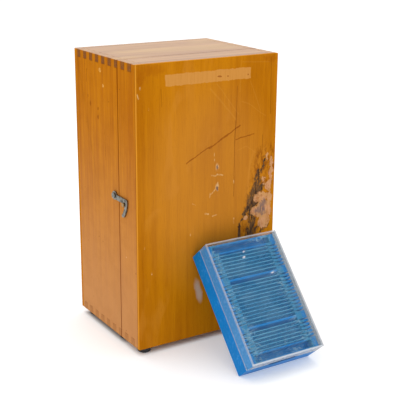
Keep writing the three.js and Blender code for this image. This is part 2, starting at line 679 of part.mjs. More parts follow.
function addMirror(scope) {
  const cellRadius = MIRROR_RADIUS + 2.4;
  const ringIn = cellRadius + 3.6;
  const ringOut = ringIn + 4;
  const trunnion = 1.5;
  const half = new THREE.Shape();
  half.moveTo(ringIn, -3);
  half.lineTo(ringOut, -3);
  half.lineTo(ringOut, 0);
  half.absarc(0, 0, ringOut, 0, Math.PI, false);
  half.lineTo(-ringOut, -3);
  half.lineTo(-ringIn, -3);
  half.lineTo(-ringIn, 0);
  half.absarc(0, 0, ringIn, Math.PI, 0, true);
  const fork = cut(
    join(
      plateFlat(half, -3, 3),
      rod("y", ringOut - 1, LIMB_FRONT - FIT_GAP, 3, [0, 0, 0], 16),
    ),
    rod("x", -ringOut - 1, ringOut + 1, trunnion + RUNNING_GAP, [0, 0, 0], 12),
  ).translate(0, 0, MIRROR_HEIGHT);
  place(scope, "mirror_fork", fork, CHROME);

  const tilted = new THREE.Group();
  tilted.position.z = MIRROR_HEIGHT;
  tilted.rotation.x = MIRROR_TILT;
  scope.add(tilted);
  const seat = -0.6;
  const cup = turned(
    [
      [0, -2.6],
      [cellRadius - 1.5, -2.6],
      [cellRadius, -1.2],
      [cellRadius, 2.6],
      [MIRROR_RADIUS + FIT_GAP, 2.6],
      [MIRROR_RADIUS + FIT_GAP, seat],
      [0, seat],
    ],
    32,
  );
  const pin = rod("x", cellRadius - 1.5, ringOut - 1, trunnion, [0, 0, 0], 12);
  place(tilted, "mirror_cell", join(cup, pin, pin.clone().rotateZ(Math.PI)), CHROME);
  const glass = rod("z", seat + FIT_GAP, 2, MIRROR_RADIUS, [0, 0, 0], 32);
  place(tilted, "mirror_glass", glass, MIRROR);
}

// A knob on X, from its inner face outwards, with a blind bore for the shaft.
function knob(radius, inner, outer, sign, centre) {
  const hub = radius * 0.55;
  const rim = inner + 1.6;
  const profile = [
    [0, inner],
    [hub, inner],
    [hub, rim],
    [radius - 0.8, rim],
    [radius, rim + 0.8],
    [radius, outer - 1],
    [radius - 1, outer],
    [0, outer],
  ];
  const body = turned(profile, 28);
  const bore = rod("z", inner - 1, outer - SHAFT_END + 0.4, SHAFT_RADIUS + FIT_GAP, [0, 0, 0], 16);
  return cut(body, bore)
    .rotateY((sign * Math.PI) / 2)
    .translate(0, ...centre);
}

function addFineFocus(scope) {
  const inner = LIMB_THICKNESS / 2 + 1;
  const outer = inner + FINE_KNOB_WIDTH;
  const centre = [FINE_SPINDLE_BEHIND, FINE_SPINDLE_HEIGHT];
  const spindle = rod("x", SHAFT_END - outer, outer - SHAFT_END, SHAFT_RADIUS, [0, ...centre]);
  place(scope, "fine_spindle", spindle, CHROME);
  for (const [side, sign] of [["left", -1], ["right", 1]]) {
    const made = knob(FINE_KNOB_RADIUS, inner, outer, sign, centre);
    place(scope, `fine_knob_${side}`, made, CHROME);
  }
}

// The pinion's section, with straight-sided teeth. One tooth points at the rack.
function pinionOutline() {
  const root = PITCH_RADIUS - TOOTH_ROOT;
  const tip = PITCH_RADIUS + TOOTH_TIP;
  const rootHalf = 0.8 * GEAR_MODULE;
  const tipHalf = 0.26 * GEAR_MODULE;
  const corners = [
    [root, -rootHalf],
    [PITCH_RADIUS, -TOOTH_HALF],
    [tip, -tipHalf],
    [tip, tipHalf],
    [PITCH_RADIUS, TOOTH_HALF],
    [root, rootHalf],
  ];
  const shape = new THREE.Shape();
  for (let k = 0; k < PINION_TEETH; k++) {
    const tooth = Math.PI + (k * 2 * Math.PI) / PINION_TEETH;
    for (const [radius, offset] of corners) {
      const angle = tooth + offset / radius;
      const x = radius * Math.cos(angle);
      const y = radius * Math.sin(angle);
      if (k === 0 && offset === corners[0][1]) shape.moveTo(x, y);
      else shape.lineTo(x, y);
    }
  }
  return shape;
}

// The rack's side view. A gap faces the pinion's tooth.
function rackOutline(bottom, top) {
  const pitch = Math.PI * GEAR_MODULE;
  const line = RACK_FACE + TOOTH_ROOT;
  const tip = line + TOOTH_TIP;
  const slope = Math.tan(THREE.MathUtils.degToRad(20));
  const halfTip = TOOTH_HALF - (tip - line) * slope;
  const halfRoot = TOOTH_HALF + (line - RACK_FACE) * slope;
  const shape = new THREE.Shape();
  shape.moveTo(TUBE_RADIUS + FIT_GAP, bottom);
  shape.lineTo(RACK_FACE, bottom);
  const first = Math.ceil((bottom + halfRoot - PINION_HEIGHT) / pitch - 0.5);
  for (let k = first; ; k++) {
    const middle = PINION_HEIGHT + (k + 0.5) * pitch;
    if (middle + halfRoot > top) break;
    shape.lineTo(RACK_FACE, middle - halfRoot);
    shape.lineTo(tip, middle - halfTip);
    shape.lineTo(tip, middle + halfTip);
    shape.lineTo(RACK_FACE, middle + halfRoot);
  }
  shape.lineTo(RACK_FACE, top);
  shape.lineTo(TUBE_RADIUS + FIT_GAP, top);
  return shape;
}

function addCoarseFocus(scope) {
  const centre = [PINION_BACK, PINION_HEIGHT];
  const at = [0, ...centre];
  const pocketHalf = GEAR_HALF + 1;
  const guideOuter = GEAR_HALF + GUIDE_WIDTH;
  const heights = [CARRIAGE_BOTTOM, CARRIAGE_TOP];
  const guideDepths = [TUBE_RADIUS + 1.1, CARRIAGE_FRONT + 1];
  const pieces = [
    box(-CARRIAGE_HALF, CARRIAGE_HALF, CARRIAGE_FRONT, CARRIAGE_BACK, ...heights),
    box(GEAR_HALF, guideOuter, ...guideDepths, ...heights),
    box(-guideOuter, -GEAR_HALF, ...guideDepths, ...heights),
  ];
  const carriage = cut(
    join(...pieces),
    rod("x", -pocketHalf, pocketHalf, PITCH_RADIUS + GEAR_MODULE + 0.6, at, 24),
    rod("x", -CARRIAGE_HALF - 1, CARRIAGE_HALF + 1, SHAFT_RADIUS + RUNNING_GAP, at, 16),
  );
  place(scope, "focus_carriage", carriage, BRASS);

  const inner = CARRIAGE_HALF + 0.6;
  const outer = inner + COARSE_KNOB_WIDTH;
  const toothEnd = GEAR_HALF - FIT_GAP;
  const gear = plateAcross(pinionOutline(), -toothEnd, toothEnd).translate(...at);
  const shaft = rod("x", SHAFT_END - outer, outer - SHAFT_END, SHAFT_RADIUS, at);
  place(scope, "coarse_pinion", join(gear, shaft), CHROME);
  for (const [side, sign] of [["left", -1], ["right", 1]]) {
    const made = knob(COARSE_KNOB_RADIUS, inner, outer, sign, centre);
    place(scope, `coarse_knob_${side}`, made, CHROME);
  }
}

function addTube(scope) {
  const tube = turned(
    [
      [TUBE_BORE, TUBE_BOTTOM],
      [TUBE_RADIUS, TUBE_BOTTOM],
      [TUBE_RADIUS, TUBE_TOP],
      [TUBE_BORE, TUBE_TOP],
      [TUBE_BORE, TUBE_BOTTOM],
    ],
    32,
  );
  place(scope, "body_tube", tube, CHROME);
  const rack = plateAcross(rackOutline(RACK_BOTTOM, RACK_BOTTOM + RACK_LENGTH), -RACK_HALF, RACK_HALF);
  place(scope, "tube_rack", rack, BRASS);

  const base = TUBE_TOP + FIT_GAP;
  const top = base + EYEPIECE_HEIGHT;
  const barrelEnd = TUBE_TOP - EYEPIECE_BARREL;
  const barrel = TUBE_BORE - FIT_GAP;
  const barrelBore = TUBE_BORE - 2.2;
  const cup = LENS_RADIUS + FIT_GAP;
  const eyeBore = LENS_RADIUS - 1.4;
  const seat = top - 6;
  const eyepiece = turned(
    [
      [barrelBore, barrelEnd],
      [barrel, barrelEnd],
      [barrel, base],
      [TUBE_RADIUS + 2, base],
      [TUBE_RADIUS + 2, base + 4],
      [TUBE_RADIUS, base + 5],
      [TUBE_RADIUS, seat],
      [TUBE_RADIUS + 1, seat + 1],
      [TUBE_RADIUS + 1, top - 2],
      [TUBE_RADIUS - 1, top],
      [cup, top - 2],
      [cup, seat],
      [eyeBore, seat],
      [eyeBore, base + 2],
      [barrelBore, base],
      [barrelBore, barrelEnd],
    ],
    22,
  );
  place(scope, "eyepiece", eyepiece, ENAMEL);
  const under = seat + FIT_GAP;
  const lens = turned([
    [0, under],
    [LENS_RADIUS, under],
    [LENS_RADIUS, under + 1.3],
    [LENS_RADIUS / 2, under + 2.3],
    [0, under + 2.7],
  ]);
  place(scope, "eye_lens", lens, GLASS);
}

// The turret turns on an axis tilted forwards from the apex. Each objective comes upright over the stage.
function addNosepiece(scope) {
  const down = (radius) =>
    -(SHOULDER_DISTANCE - radius * Math.sin(TURRET_TILT)) / Math.cos(TURRET_TILT);
  const turretTop = -TURRET_TOP;
  const mountTop = turretTop + MOUNT_THICKNESS;
  const frame = new THREE.Group();
  frame.position.z = TURRET_APEX;
  frame.rotation.x = -TURRET_TILT;
  scope.add(frame);

  const lightPaths = OBJECTIVES.map((_, k) =>
    rod("z", -SHOULDER_DISTANCE - 5, turretTop + 12, LIGHT_BORE, [0, 0, 0], 16)
      .rotateX(TURRET_TILT)
      .rotateZ((k * 2 * Math.PI) / OBJECTIVES.length),
  );
  const turret = turned(
    [
      [0, down(0)],
      [TURRET_RADIUS - 1, down(TURRET_RADIUS - 1)],
      [TURRET_RADIUS, down(TURRET_RADIUS) + 1],
      [TURRET_RADIUS, turretTop],
      [0, turretTop],
    ],
    36,
  );
  place(frame, "nosepiece_turret", cut(turret, ...lightPaths), CHROME);

  const plate = turned(
    [
      [0, turretTop + FIT_GAP],
      [TURRET_RADIUS - 2, turretTop + FIT_GAP],
      [TURRET_RADIUS - 2, mountTop - 1.5],
      [TURRET_RADIUS - 4, mountTop],
      [0, mountTop],
    ],
    36,
  )
    .rotateX(-TURRET_TILT)
    .translate(0, 0, TURRET_APEX);
  const neckTop = TUBE_BOTTOM - FIT_GAP;
  const neckLow = neckTop - NECK_LENGTH;
  const neck = cut(
    rod("z", neckLow, neckTop, TUBE_RADIUS, [0, 0, 0], 32),
    box(-40, 40, -40, 40, turretTop - 40, turretTop + 1)
      .rotateX(-TURRET_TILT)
      .translate(0, 0, TURRET_APEX),
  );
  const path = rod("z", neckLow - 20, neckTop + 1, LIGHT_BORE, [0, 0, 0], 20);
  place(scope, "nosepiece_mount", cut(join(plate, neck), path), ENAMEL);

  OBJECTIVES.forEach(({ name, length, tip }, k) => {
    const from = -SHOULDER_DISTANCE - FIT_GAP;
    const end = from - length;
    const barrel = turned([
      [0, end],
      [tip, end],
      [tip + 1.6, end + 3],
      [tip + 1.6, end + length * 0.3],
      [BARREL_RADIUS, end + length * 0.42],
      [BARREL_RADIUS, from - COLLAR_LENGTH - 0.2],
      [COLLAR_RADIUS, from - COLLAR_LENGTH],
      [COLLAR_RADIUS, from],
      [0, from],
    ]);
    barrel.rotateX(TURRET_TILT).rotateZ((k * 2 * Math.PI) / OBJECTIVES.length);
    place(frame, name, barrel, CHROME);
  });
}

function microscope() {
  const scope = new THREE.Group();
  addStandParts(scope);
  addClips(scope);
  addDiaphragm(scope);
  addMirror(scope);
  addFineFocus(scope);
  addCoarseFocus(scope);
  addTube(scope);
  addNosepiece(scope);
  return scope;
}

// ---------------------------------------------------------------- the whole object

// The case's frame: X from the middle of its width, Y back from its front face, Z up from the floor.
const caseGroup = new THREE.Group();
addBoards(caseGroup, "carcass", CARCASS_FRONT, CARCASS_BACK);
addBoards(caseGroup, "door", PANEL + GLUE_GAP, DOOR_BACK);
addPanel(caseGroup, "back_panel", CASE_DEPTH - PANEL);
addPanel(caseGroup, "door_panel", 0);
addFeet(caseGroup);
addHinges(caseGroup);
addLatch(caseGroup);
addStand(caseGroup);

const scope = microscope();
scope.position.set(SCOPE_X, SCOPE_Y, SCOPE_BOTTOM);
caseGroup.add(scope);

// The slide box stands on the lower back edge of its tray, and its upper back edge touches the door.
const slideBox = new THREE.Group();
addSlideBox(slideBox);
slideBox.rotation.x = Math.PI / 2 - BOX_LEAN;
slideBox.position.set(
  -HALF_WIDTH + BOX_FROM_LEFT + BOX_WIDTH / 2,
  -FIT_GAP - BOX_LENGTH * Math.sin(BOX_LEAN),
  0,
);
caseGroup.add(slideBox);

// The object's outline runs from the slide box's lower front edge to the case's back.
const outlineFront = -FIT_GAP - BOX_REACH;
caseGroup.position.y = -(outlineFront + CASE_DEPTH) / 2;

const cased = new THREE.Group();
cased.add(caseGroup);
export default cased;
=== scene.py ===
"""A cased student microscope with its slide box: finishes, turned parts, glass slides and a studio."""

import math

import bmesh
import bpy
from bpy.props import FloatProperty, FloatVectorProperty, IntProperty, PointerProperty
from mathutils import Matrix, Vector


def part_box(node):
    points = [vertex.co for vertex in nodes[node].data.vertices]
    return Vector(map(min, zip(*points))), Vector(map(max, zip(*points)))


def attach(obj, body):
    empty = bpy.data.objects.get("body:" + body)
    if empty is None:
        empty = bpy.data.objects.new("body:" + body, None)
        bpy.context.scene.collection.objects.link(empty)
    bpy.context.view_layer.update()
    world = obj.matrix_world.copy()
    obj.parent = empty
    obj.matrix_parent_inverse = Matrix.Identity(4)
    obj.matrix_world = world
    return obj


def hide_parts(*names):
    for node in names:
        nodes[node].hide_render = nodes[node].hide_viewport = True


bl_info = {
    "name": "Cased Microscope",
    "version": (1, 0, 0),
    "blender": (4, 5, 0),
    "location": "3D View > Sidebar > Microscope",
    "description": "Finishes a cased microscope and its slide box on their packed frame",
    "category": "Object",
}

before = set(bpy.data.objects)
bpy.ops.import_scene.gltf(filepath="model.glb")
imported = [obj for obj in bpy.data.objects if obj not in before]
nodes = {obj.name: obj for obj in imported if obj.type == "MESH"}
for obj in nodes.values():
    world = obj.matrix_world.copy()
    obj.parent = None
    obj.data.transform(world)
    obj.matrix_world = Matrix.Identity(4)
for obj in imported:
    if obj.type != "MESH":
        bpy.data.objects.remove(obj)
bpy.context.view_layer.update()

MM = 0.001
BOARDS = ("left_side", "right_side", "top", "bottom")
CASE_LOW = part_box("door_panel")[0]
CASE_HIGH = Vector((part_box("door_panel")[1].x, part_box("back_panel")[1].y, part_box("door_panel")[1].z))
SEAM_Y = (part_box("door_top")[1].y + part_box("carcass_top")[0].y) / 2


def colour(name, words, default):
    """A colour that a user can change."""
    limits = {"size": 3, "min": 0, "max": 1}
    return FloatVectorProperty(name=name, description=words, default=default, subtype="COLOR", **limits)


def length(name, words, default):
    """A length in metres."""
    return FloatProperty(name=name, description=words, default=default, min=0, unit="LENGTH", precision=5)


def angle(name, words, degrees):
    """An angle, given in degrees."""
    return FloatProperty(name=name, description=words, default=math.radians(degrees), subtype="ANGLE")


# ---------------------------------------------------------------- settings


class MICROSCOPE_PG_case(bpy.types.PropertyGroup):
    """Sizes and colours of the wooden case"""

    panel_tone: colour("Panel", "Varnish over the plywood panels", (0.53, 0.19, 0.002))
    panel_dark: colour("Panel shade", "Darker figure of the plywood panels", (0.4, 0.124, 0.001))
    board_tone: colour("Boards", "Varnish over the solid boards", (0.53, 0.185, 0.003))
    board_dark: colour("Board shade", "Darker grain of the solid boards", (0.41, 0.122, 0.002))
    # The top's paler colour stands for faded varnish and for a painted sheen.
    top_fade_and_sheen: colour("Top", "Faded varnish on the top", (0.54, 0.29, 0.12))
    end_tone: colour("End grain", "Ends of the finger joints", (0.17, 0.06, 0.02))
    bare_tone: colour("Bare wood", "Wood where the varnish has gone", (0.56, 0.29, 0.115))
    # How much paler the boards grow towards the foot.
    paler_foot: FloatProperty(
        name="Fading", description="How far the boards fade towards the foot", default=0.95, min=0, max=1
    )
    edge_radius: length("Edge radius", "Softened edges of the boards", 0.0007)


class MICROSCOPE_PG_slide_box(bpy.types.PropertyGroup):
    """Sizes and colours of the slide box"""

    lean: angle("Lean", "Angle between the leaning box and the upright door", 42)
    length: length("Length", "Long side of the box", 0.145)
    width: length("Width", "Short side of the box", 0.096)
    thickness: length("Thickness", "Tray and lid together", 0.036)
    rim_height: length("Rim height", "Height of the lid's rim above the tray's back", 0.0193)
    slot_pitch: length("Slot pitch", "Distance between neighbouring slots", 0.0042)
    partition: length("Partition", "Thickness of a partition of the comb", 0.0024)
    slide_length: length("Slide length", "Long side of a glass slide", 0.0755)
    slide_width: length("Slide width", "Short side of a glass slide", 0.0255)
    slide_thickness: length("Slide thickness", "Thickness of a glass slide", 0.0011)
    slide_floor: length("Slide floor", "Height that the slides stand at in the tray", 0.0034)
    blue: colour("Tray", "Blue of the moulded tray", (0.0, 0.16, 0.46))
    haze: colour("Haze", "Colour of the scuffed lid", (0.26, 0.46, 0.58))


class MICROSCOPE_PG_scope(bpy.types.PropertyGroup):
    """Details of the microscope"""

    knurls: IntProperty(name="Knurls", description="Grooves round a coarse knob", default=40, min=12)
    tube_wall: length("Tube wall", "Thickness of the body tube's wall", 0.0025)
    apex_height: length("Apex height", "Where the turret's axis meets the tube's, above the foot", 0.194)
    turret_tilt: angle("Turret tilt", "Angle between the turret's axis and the tube's", 16)
    shoulder: length("Shoulder", "From that meeting point down to an objective's shoulder", 0.0523)
    barrel_radius: length("Barrel radius", "Radius of an objective's barrel", 0.0082)
    collar_radius: length("Collar radius", "Radius of the collar at an objective's shoulder", 0.0096)
    ring_width: length("Ring width", "Width of the painted ring on an objective", 0.0016)
    enamel: colour("Enamel", "Stove enamel of the stand", (0.012, 0.013, 0.015))
    metal: colour("Plating", "Bright plated parts", (0.62, 0.63, 0.65))
    brass: colour("Brass", "Lacquered brass parts", (0.58, 0.40, 0.16))


class MICROSCOPE_PG_studio(bpy.types.PropertyGroup):
    """Camera and lights"""

    camera_place: FloatVectorProperty(
        name="Camera",
        description="Where the camera stands",
        default=(-0.5537, -0.8711, 0.4846),
        subtype="XYZ",
        unit="LENGTH",
    )
    pan: angle("Pan", "Camera's turn from +Y towards +X", 32.28)
    tilt: angle("Tilt", "How far the camera looks down", 16.99)
    roll: angle("Roll", "Camera's roll", 0.46)
    lens: FloatProperty(name="Lens", description="Focal length in millimetres", default=84.7, min=1)
    floor_tone: colour("Floor", "Pale studio floor", (0.88, 0.88, 0.88))
    shade_inset: length("Shade inset", "How far the dark under the case stays inside its outline", 0.004)


# ---------------------------------------------------------------- shader graphs


class Signal:
    """A shader value that Python's operators work on."""

    def __init__(self, graph, socket):
        self.graph = graph
        self.socket = socket

    def maths(self, operation, first, second):
        return self.graph.add("ShaderNodeMath", {"operation": operation}, {0: first, 1: second})

    def __add__(self, other):
        return self.maths("ADD", self, other)

    def __radd__(self, other):
        return self.maths("ADD", other, self)

    def __sub__(self, other):
        return self.maths("SUBTRACT", self, other)

    def __rsub__(self, other):
        return self.maths("SUBTRACT", other, self)

    def __mul__(self, other):
        return self.maths("MULTIPLY", self, other)

    def __rmul__(self, other):
        return self.maths("MULTIPLY", other, self)

    def __truediv__(self, other):
        return self.maths("DIVIDE", self, other)

    def __abs__(self):
        return self.maths("ABSOLUTE", self, 0)

    def most(self, other):
        return self.maths("MAXIMUM", self, other)

    def least(self, other):
        return self.maths("MINIMUM", self, other)


class Graph:
    """A material's node tree, written as expressions."""

    def __init__(self, name):
        self.material = bpy.data.materials.new(name)
        self.material.use_nodes = True
        self.tree = self.material.node_tree
        self.tree.nodes.clear()

    def add(self, kind, settings=None, inputs=None, output=0):
        """Adds one node: its type, its settings, and the values or links of its sockets."""
        node = self.tree.nodes.new(kind)
        for key, value in (settings or {}).items():
            setattr(node, key, value)
        for key, value in (inputs or {}).items():
            self.feed(node.inputs[key], value)
        return Signal(self, node.outputs[output])

    def feed(self, socket, value):
        if isinstance(value, Signal):
            self.tree.links.new(value.socket, socket)
        elif socket.type == "RGBA":
            socket.default_value = (*value[:3], 1)
        else:
            socket.default_value = value

    def position(self):
        """The place on the object, in metres."""
        return self.add("ShaderNodeTexCoord", output="Object")

    def split(self, vector):
        """X, Y and Z of a vector."""
        node = self.add("ShaderNodeSeparateXYZ", inputs={0: vector}).socket.node
        return [Signal(self, socket) for socket in node.outputs]

    def scaled(self, vector, factors):
        return self.add("ShaderNodeVectorMath", {"operation": "MULTIPLY"}, {0: vector, 1: factors})

    def moved(self, vector, offset):
        return self.add("ShaderNodeVectorMath", {"operation": "ADD"}, {0: vector, 1: offset})

    def noise(self, vector, scale, detail=2.0, roughness=0.5, distortion=0.0):
        """Noise about 0.5, with that many features in a metre."""
        inputs = {"Scale": scale, "Detail": detail, "Roughness": roughness, "Distortion": distortion}
        return self.add("ShaderNodeTexNoise", inputs={"Vector": vector, **inputs})

    def cells(self, vector, scale):
        """The distance to the nearest of scattered points, with that many in a metre."""
        return self.add("ShaderNodeTexVoronoi", inputs={"Vector": vector, "Scale": scale})

    def step(self, value, low, high, out_low=0.0, out_high=1.0):
        """A smooth step from low to high."""
        inputs = {"Value": value, "From Min": low, "From Max": high, "To Min": out_low, "To Max": out_high}
        return self.add("ShaderNodeMapRange", {"interpolation_type": "SMOOTHSTEP"}, inputs)

    def mix(self, factor, first, second):
        """A colour between two others."""
        return self.add("ShaderNodeMix", {"data_type": "RGBA"}, {0: factor, 6: first, 7: second}, 2)

    def shade(self, factor, base, by):
        """base multiplied by the colour by, as far as factor says."""
        settings = {"data_type": "RGBA", "blend_type": "MULTIPLY"}
        return self.add("ShaderNodeMix", settings, {0: factor, 6: base, 7: by}, 2)

    def bump(self, height, distance, strength=1.0):
        """A normal from a height, with its depth in metres."""
        inputs = {"Strength": strength, "Distance": distance, "Height": height}
        return self.add("ShaderNodeBump", inputs=inputs)

    def spot(self, x, z, centre, radii, edge=0.25):
        """1 inside an ellipse, with its centre and radii in metres."""
        across = (x - centre[0]) / radii[0]
        along = (z - centre[1]) / radii[1]
        return self.step(across * across + along * along, 1 - edge, 1 + edge, 1.0, 0.0)

    def stroke(self, x, z, start, end, width):
        """1 along a line from start to end, fading out at half the width on each side."""
        dx, dz = end[0] - start[0], end[1] - start[1]
        square = dx * dx + dz * dz
        u = x - start[0]
        v = z - start[1]
        along = (u * (dx / square) + v * (dz / square)).most(0.0).least(1.0)
        off_x = u - along * dx
        off_z = v - along * dz
        reach = (width / 2) ** 2
        return self.step(off_x * off_x + off_z * off_z, reach * 0.15, reach, 1.0, 0.0)

    def band(self, value, low, high, soft):
        """1 between low and high."""
        rise = self.step(value, low - soft, low + soft)
        return rise * self.step(value, high - soft, high + soft, 1.0, 0.0)

    def principled(self, fixed=None, **varying):
        """The shader and the output. Fixed numbers stay on the shader's own sockets."""
        inputs = {key.replace("_", " ").title(): value for key, value in varying.items()}
        shader = self.add("ShaderNodeBsdfPrincipled", inputs={**inputs, **(fixed or {})})
        self.add_output(shader)
        return self.material

    def add_output(self, shader):
        node = self.tree.nodes.new("ShaderNodeOutputMaterial")
        self.tree.links.new(shader.socket, node.inputs["Surface"])


def strongest(signals):
    """The greatest of several masks."""
    found = signals[0]
    for signal in signals[1:]:
        found = found.most(signal)
    return found


# ---------------------------------------------------------------- modelling helpers

# Edges that turn more than this stay sharp.
SHARP = math.radians(35)


def deselect():
    """Leaves edit mode, with nothing selected."""
    if bpy.context.object and bpy.context.object.mode != "OBJECT":
        bpy.ops.object.mode_set(mode="OBJECT")
    bpy.ops.object.select_all(action="DESELECT")


def only(piece):
    """Selects one object and makes it active."""
    deselect()
    piece.select_set(True)
    bpy.context.view_layer.objects.active = piece


def edit(piece):
    """Opens one object for work on its faces."""
    only(piece)
    bpy.ops.object.mode_set(mode="EDIT")
    bpy.ops.mesh.select_mode(type="FACE")


def pick_faces(piece, wanted):
    """Selects the faces that wanted says, in edit mode, and returns how many."""
    bpy.ops.mesh.select_all(action="DESELECT")
    mesh = bmesh.from_edit_mesh(piece.data)
    count = 0
    for face in mesh.faces:
        if wanted(face):
            face.select_set(True)
            count += 1
    mesh.select_flush_mode()
    bmesh.update_edit_mesh(piece.data)
    return count


def add_bevel(piece, width, segments):
    """A bevel on the sharp edges."""
    bevel = piece.modifiers.new("Edges", "BEVEL")
    bevel.width = width
    bevel.segments = segments
    bevel.limit_method = "ANGLE"
    bevel.angle_limit = SHARP
    bevel.harden_normals = True
    return bevel


def soften(piece, width, segments=2):
    """Rounds the sharp edges and smooths the rest."""
    only(piece)
    bevel = add_bevel(piece, width, segments)
    bpy.ops.object.modifier_apply(modifier=bevel.name)
    bpy.ops.object.shade_smooth_by_angle(angle=SHARP)


def settle(piece, matrix=None):
    """Leaves the object at the origin, with its place in its mesh."""
    only(piece)
    bpy.ops.object.transform_apply(location=True, rotation=True, scale=True)
    if matrix is not None:
        piece.data.transform(matrix)
    piece.data.update()
    return piece


def turned(name, profile, steps=64):
    """A lathe piece about Z, from (radius, height) pairs in metres."""
    deselect()
    radius, height = profile[0]
    bpy.ops.mesh.primitive_plane_add(size=0.001, location=(radius, 0, height))
    piece = bpy.context.object
    piece.name = name
    bpy.ops.object.mode_set(mode="EDIT")
    bpy.ops.mesh.select_mode(type="VERT")
    bpy.ops.mesh.select_all(action="SELECT")
    bpy.ops.mesh.merge(type="CENTER")
    for before, after in zip(profile, profile[1:]):
        step = (after[0] - before[0], 0, after[1] - before[1])
        bpy.ops.mesh.extrude_region_move(TRANSFORM_OT_translate={"value": step})
    bpy.ops.mesh.select_all(action="SELECT")
    bpy.ops.mesh.spin(steps=steps, angle=math.tau, center=(0, 0, 0), axis=(0, 0, 1))
    bpy.ops.mesh.select_all(action="SELECT")
    bpy.ops.mesh.remove_doubles(threshold=1e-6)
    bpy.ops.mesh.normals_make_consistent(inside=False)
    bpy.ops.object.mode_set(mode="OBJECT")
    return settle(piece)


def box_piece(name, low, high):
    """A block between two corners."""
    deselect()
    size = Vector(high) - Vector(low)
    bpy.ops.mesh.primitive_cube_add(size=1, location=(Vector(low) + Vector(high)) / 2, scale=size)
    piece = bpy.context.object
    piece.name = name
    return settle(piece)


def copy_of(piece, name, matrix):
    """A copy with its own mesh, moved to its place."""
    made = piece.copy()
    made.data = piece.data.copy()
    made.name = name
    bpy.context.collection.objects.link(made)
    made.data.transform(matrix)
    return made


def paint(piece, *materials):
    """Gives a piece its materials."""
    piece.data.materials.clear()
    for material in materials:
        piece.data.materials.append(material)


def finish_node(name, material, radius, segments=2, smooth=True):
    """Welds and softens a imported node, and gives it its material.

    Pieces with only flat faces stay unsmoothed.
    """
    piece = nodes[name]
    weld = piece.modifiers.new("Weld", "WELD")
    weld.merge_threshold = 1e-5
    add_bevel(piece, radius, segments).harden_normals = smooth
    for face in piece.data.polygons:
        face.use_smooth = smooth
    paint(piece, material)


# ---------------------------------------------------------------- wood

VARNISH_GLOSS = {"Specular IOR Level": 0.0, "Coat Roughness": 0.3, "Coat IOR": 1.5}
GRAIN_STRETCH = {"x": (0.035, 1, 1), "z": (1, 1, 0.035)}
PORE_STRETCH = {"x": (0.06, 1, 1), "z": (1, 1, 0.06)}
SEAM_REACH = 0.0009
SEAM_SOFT = 0.0005

# Colours that darken the boards, or that show through their varnish.
GRAIN_LINE = (0.62, 0.5, 0.36)
PORE = (0.45, 0.3, 0.2)
PALER_FOOT = (0.53, 0.25, 0.095)
# Painted shadow in the gap between the door and the carcass.
PAINTED_SEAM_SHADOW = (0.42, 0.22, 0.12)
SIDE_STAIN = (0.4, 0.22, 0.16)
SIDE_CHIP = (0.8, 0.5, 0.15)
GRIME = (0.5, 0.36, 0.24)
SPECK = (0.3, 0.18, 0.12)
NICK = (0.75, 0.52, 0.3)
BLEACHED_STREAK = (0.4, 0.19, 0.075)
SUNNED = (0.62, 0.38, 0.13)
# Painted shadow in the same gap, across the top.
PAINTED_TOP_SEAM_SHADOW = (0.5, 0.27, 0.14)
END_RING = (0.25, 0.09, 0.02)

# Marks on the case's left side, as places back and up in millimetres.
SIDE_DARK = (
    ((97.3, 274.5), (1.6, 3.0)),
    ((78.1, 271.4), (1.6, 1.6)),
    ((78.7, 261.5), (2.0, 2.4)),
    ((104.0, 282.0), (1.0, 2.0)),
)
SIDE_PALE = (((72.2, 315.9), (3.6, 1.8)), ((64.6, 299.4), (1.8, 2.2)))
SIDE_LINES = (((105.8, 313.0), (107.4, 298.0), 1.5), ((63.0, 250.0), (61.5, 215.0), 0.9))


def metres(points):
    return tuple(value * MM for value in points)


def strokes(graph, x, z, marks):
    """1 along any of several lines, each a start, an end and a width in millimetres."""
    return strongest([graph.stroke(x, z, metres(a), metres(b), width * MM) for a, b, width in marks])


def ellipses(graph, x, z, marks, edge=0.25):
    """1 inside any of several ellipses, each a centre and radii in millimetres."""
    return strongest([graph.spot(x, z, metres(centre), metres(radii), edge) for centre, radii in marks])


def grain(graph, place, axis, seed):
    """Fine lines, broad streaks and slow figure along one axis, each about 0.5."""
    moved = graph.moved(place, (seed, seed * 1.7, -seed))
    stretched = graph.scaled(moved, GRAIN_STRETCH[axis])
    fine = graph.noise(stretched, 1150, 3, 0.6)
    streak = graph.noise(stretched, 170, 3, 0.55, 0.3)
    slow = graph.noise(graph.scaled(moved, (1, 1, 0.45)), 11, 2, 0.5, 0.6)
    return fine, streak, slow


def side_marks(graph, place, base):
    """The stains, lines and chips of the case's left side."""
    x, y, z = graph.split(place)
    left = graph.step(x, -CASE_HIGH.x + 0.001, -CASE_HIGH.x + 0.002, 1.0, 0.0)
    drift = (graph.noise(place, 160, 3, 0.6) - 0.5) * 0.004
    stain = ellipses(graph, y + drift, z - drift, SIDE_DARK, 0.6)
    stain = stain.most(strokes(graph, y + drift, z, SIDE_LINES))
    base = graph.shade(left * stain * 0.55, base, SIDE_STAIN)
    chip = ellipses(graph, y - drift, z + drift, SIDE_PALE, 0.6)
    chip = chip * graph.step(graph.noise(place, 300, 3, 0.6), 0.4, 0.6)
    return graph.mix(left * chip * 0.55, base, SIDE_CHIP)


def edge_grime(graph, place, base):
    """Grime that has gathered along the case's upright edges."""
    x, y, _ = graph.split(place)
    to_edge = (CASE_HIGH.x - abs(x)).most(0.0)
    near = graph.step(to_edge, 0.0, 0.009, 1.0, 0.0)
    near = near * graph.step(abs(y - CASE_LOW.y), 0.0, 0.004, 1.0, 0.25)
    patchy = graph.noise(place, 60, 3, 0.6)
    return graph.shade(near * graph.step(patchy, 0.42, 0.62, 0.0, 0.35), base, GRIME)


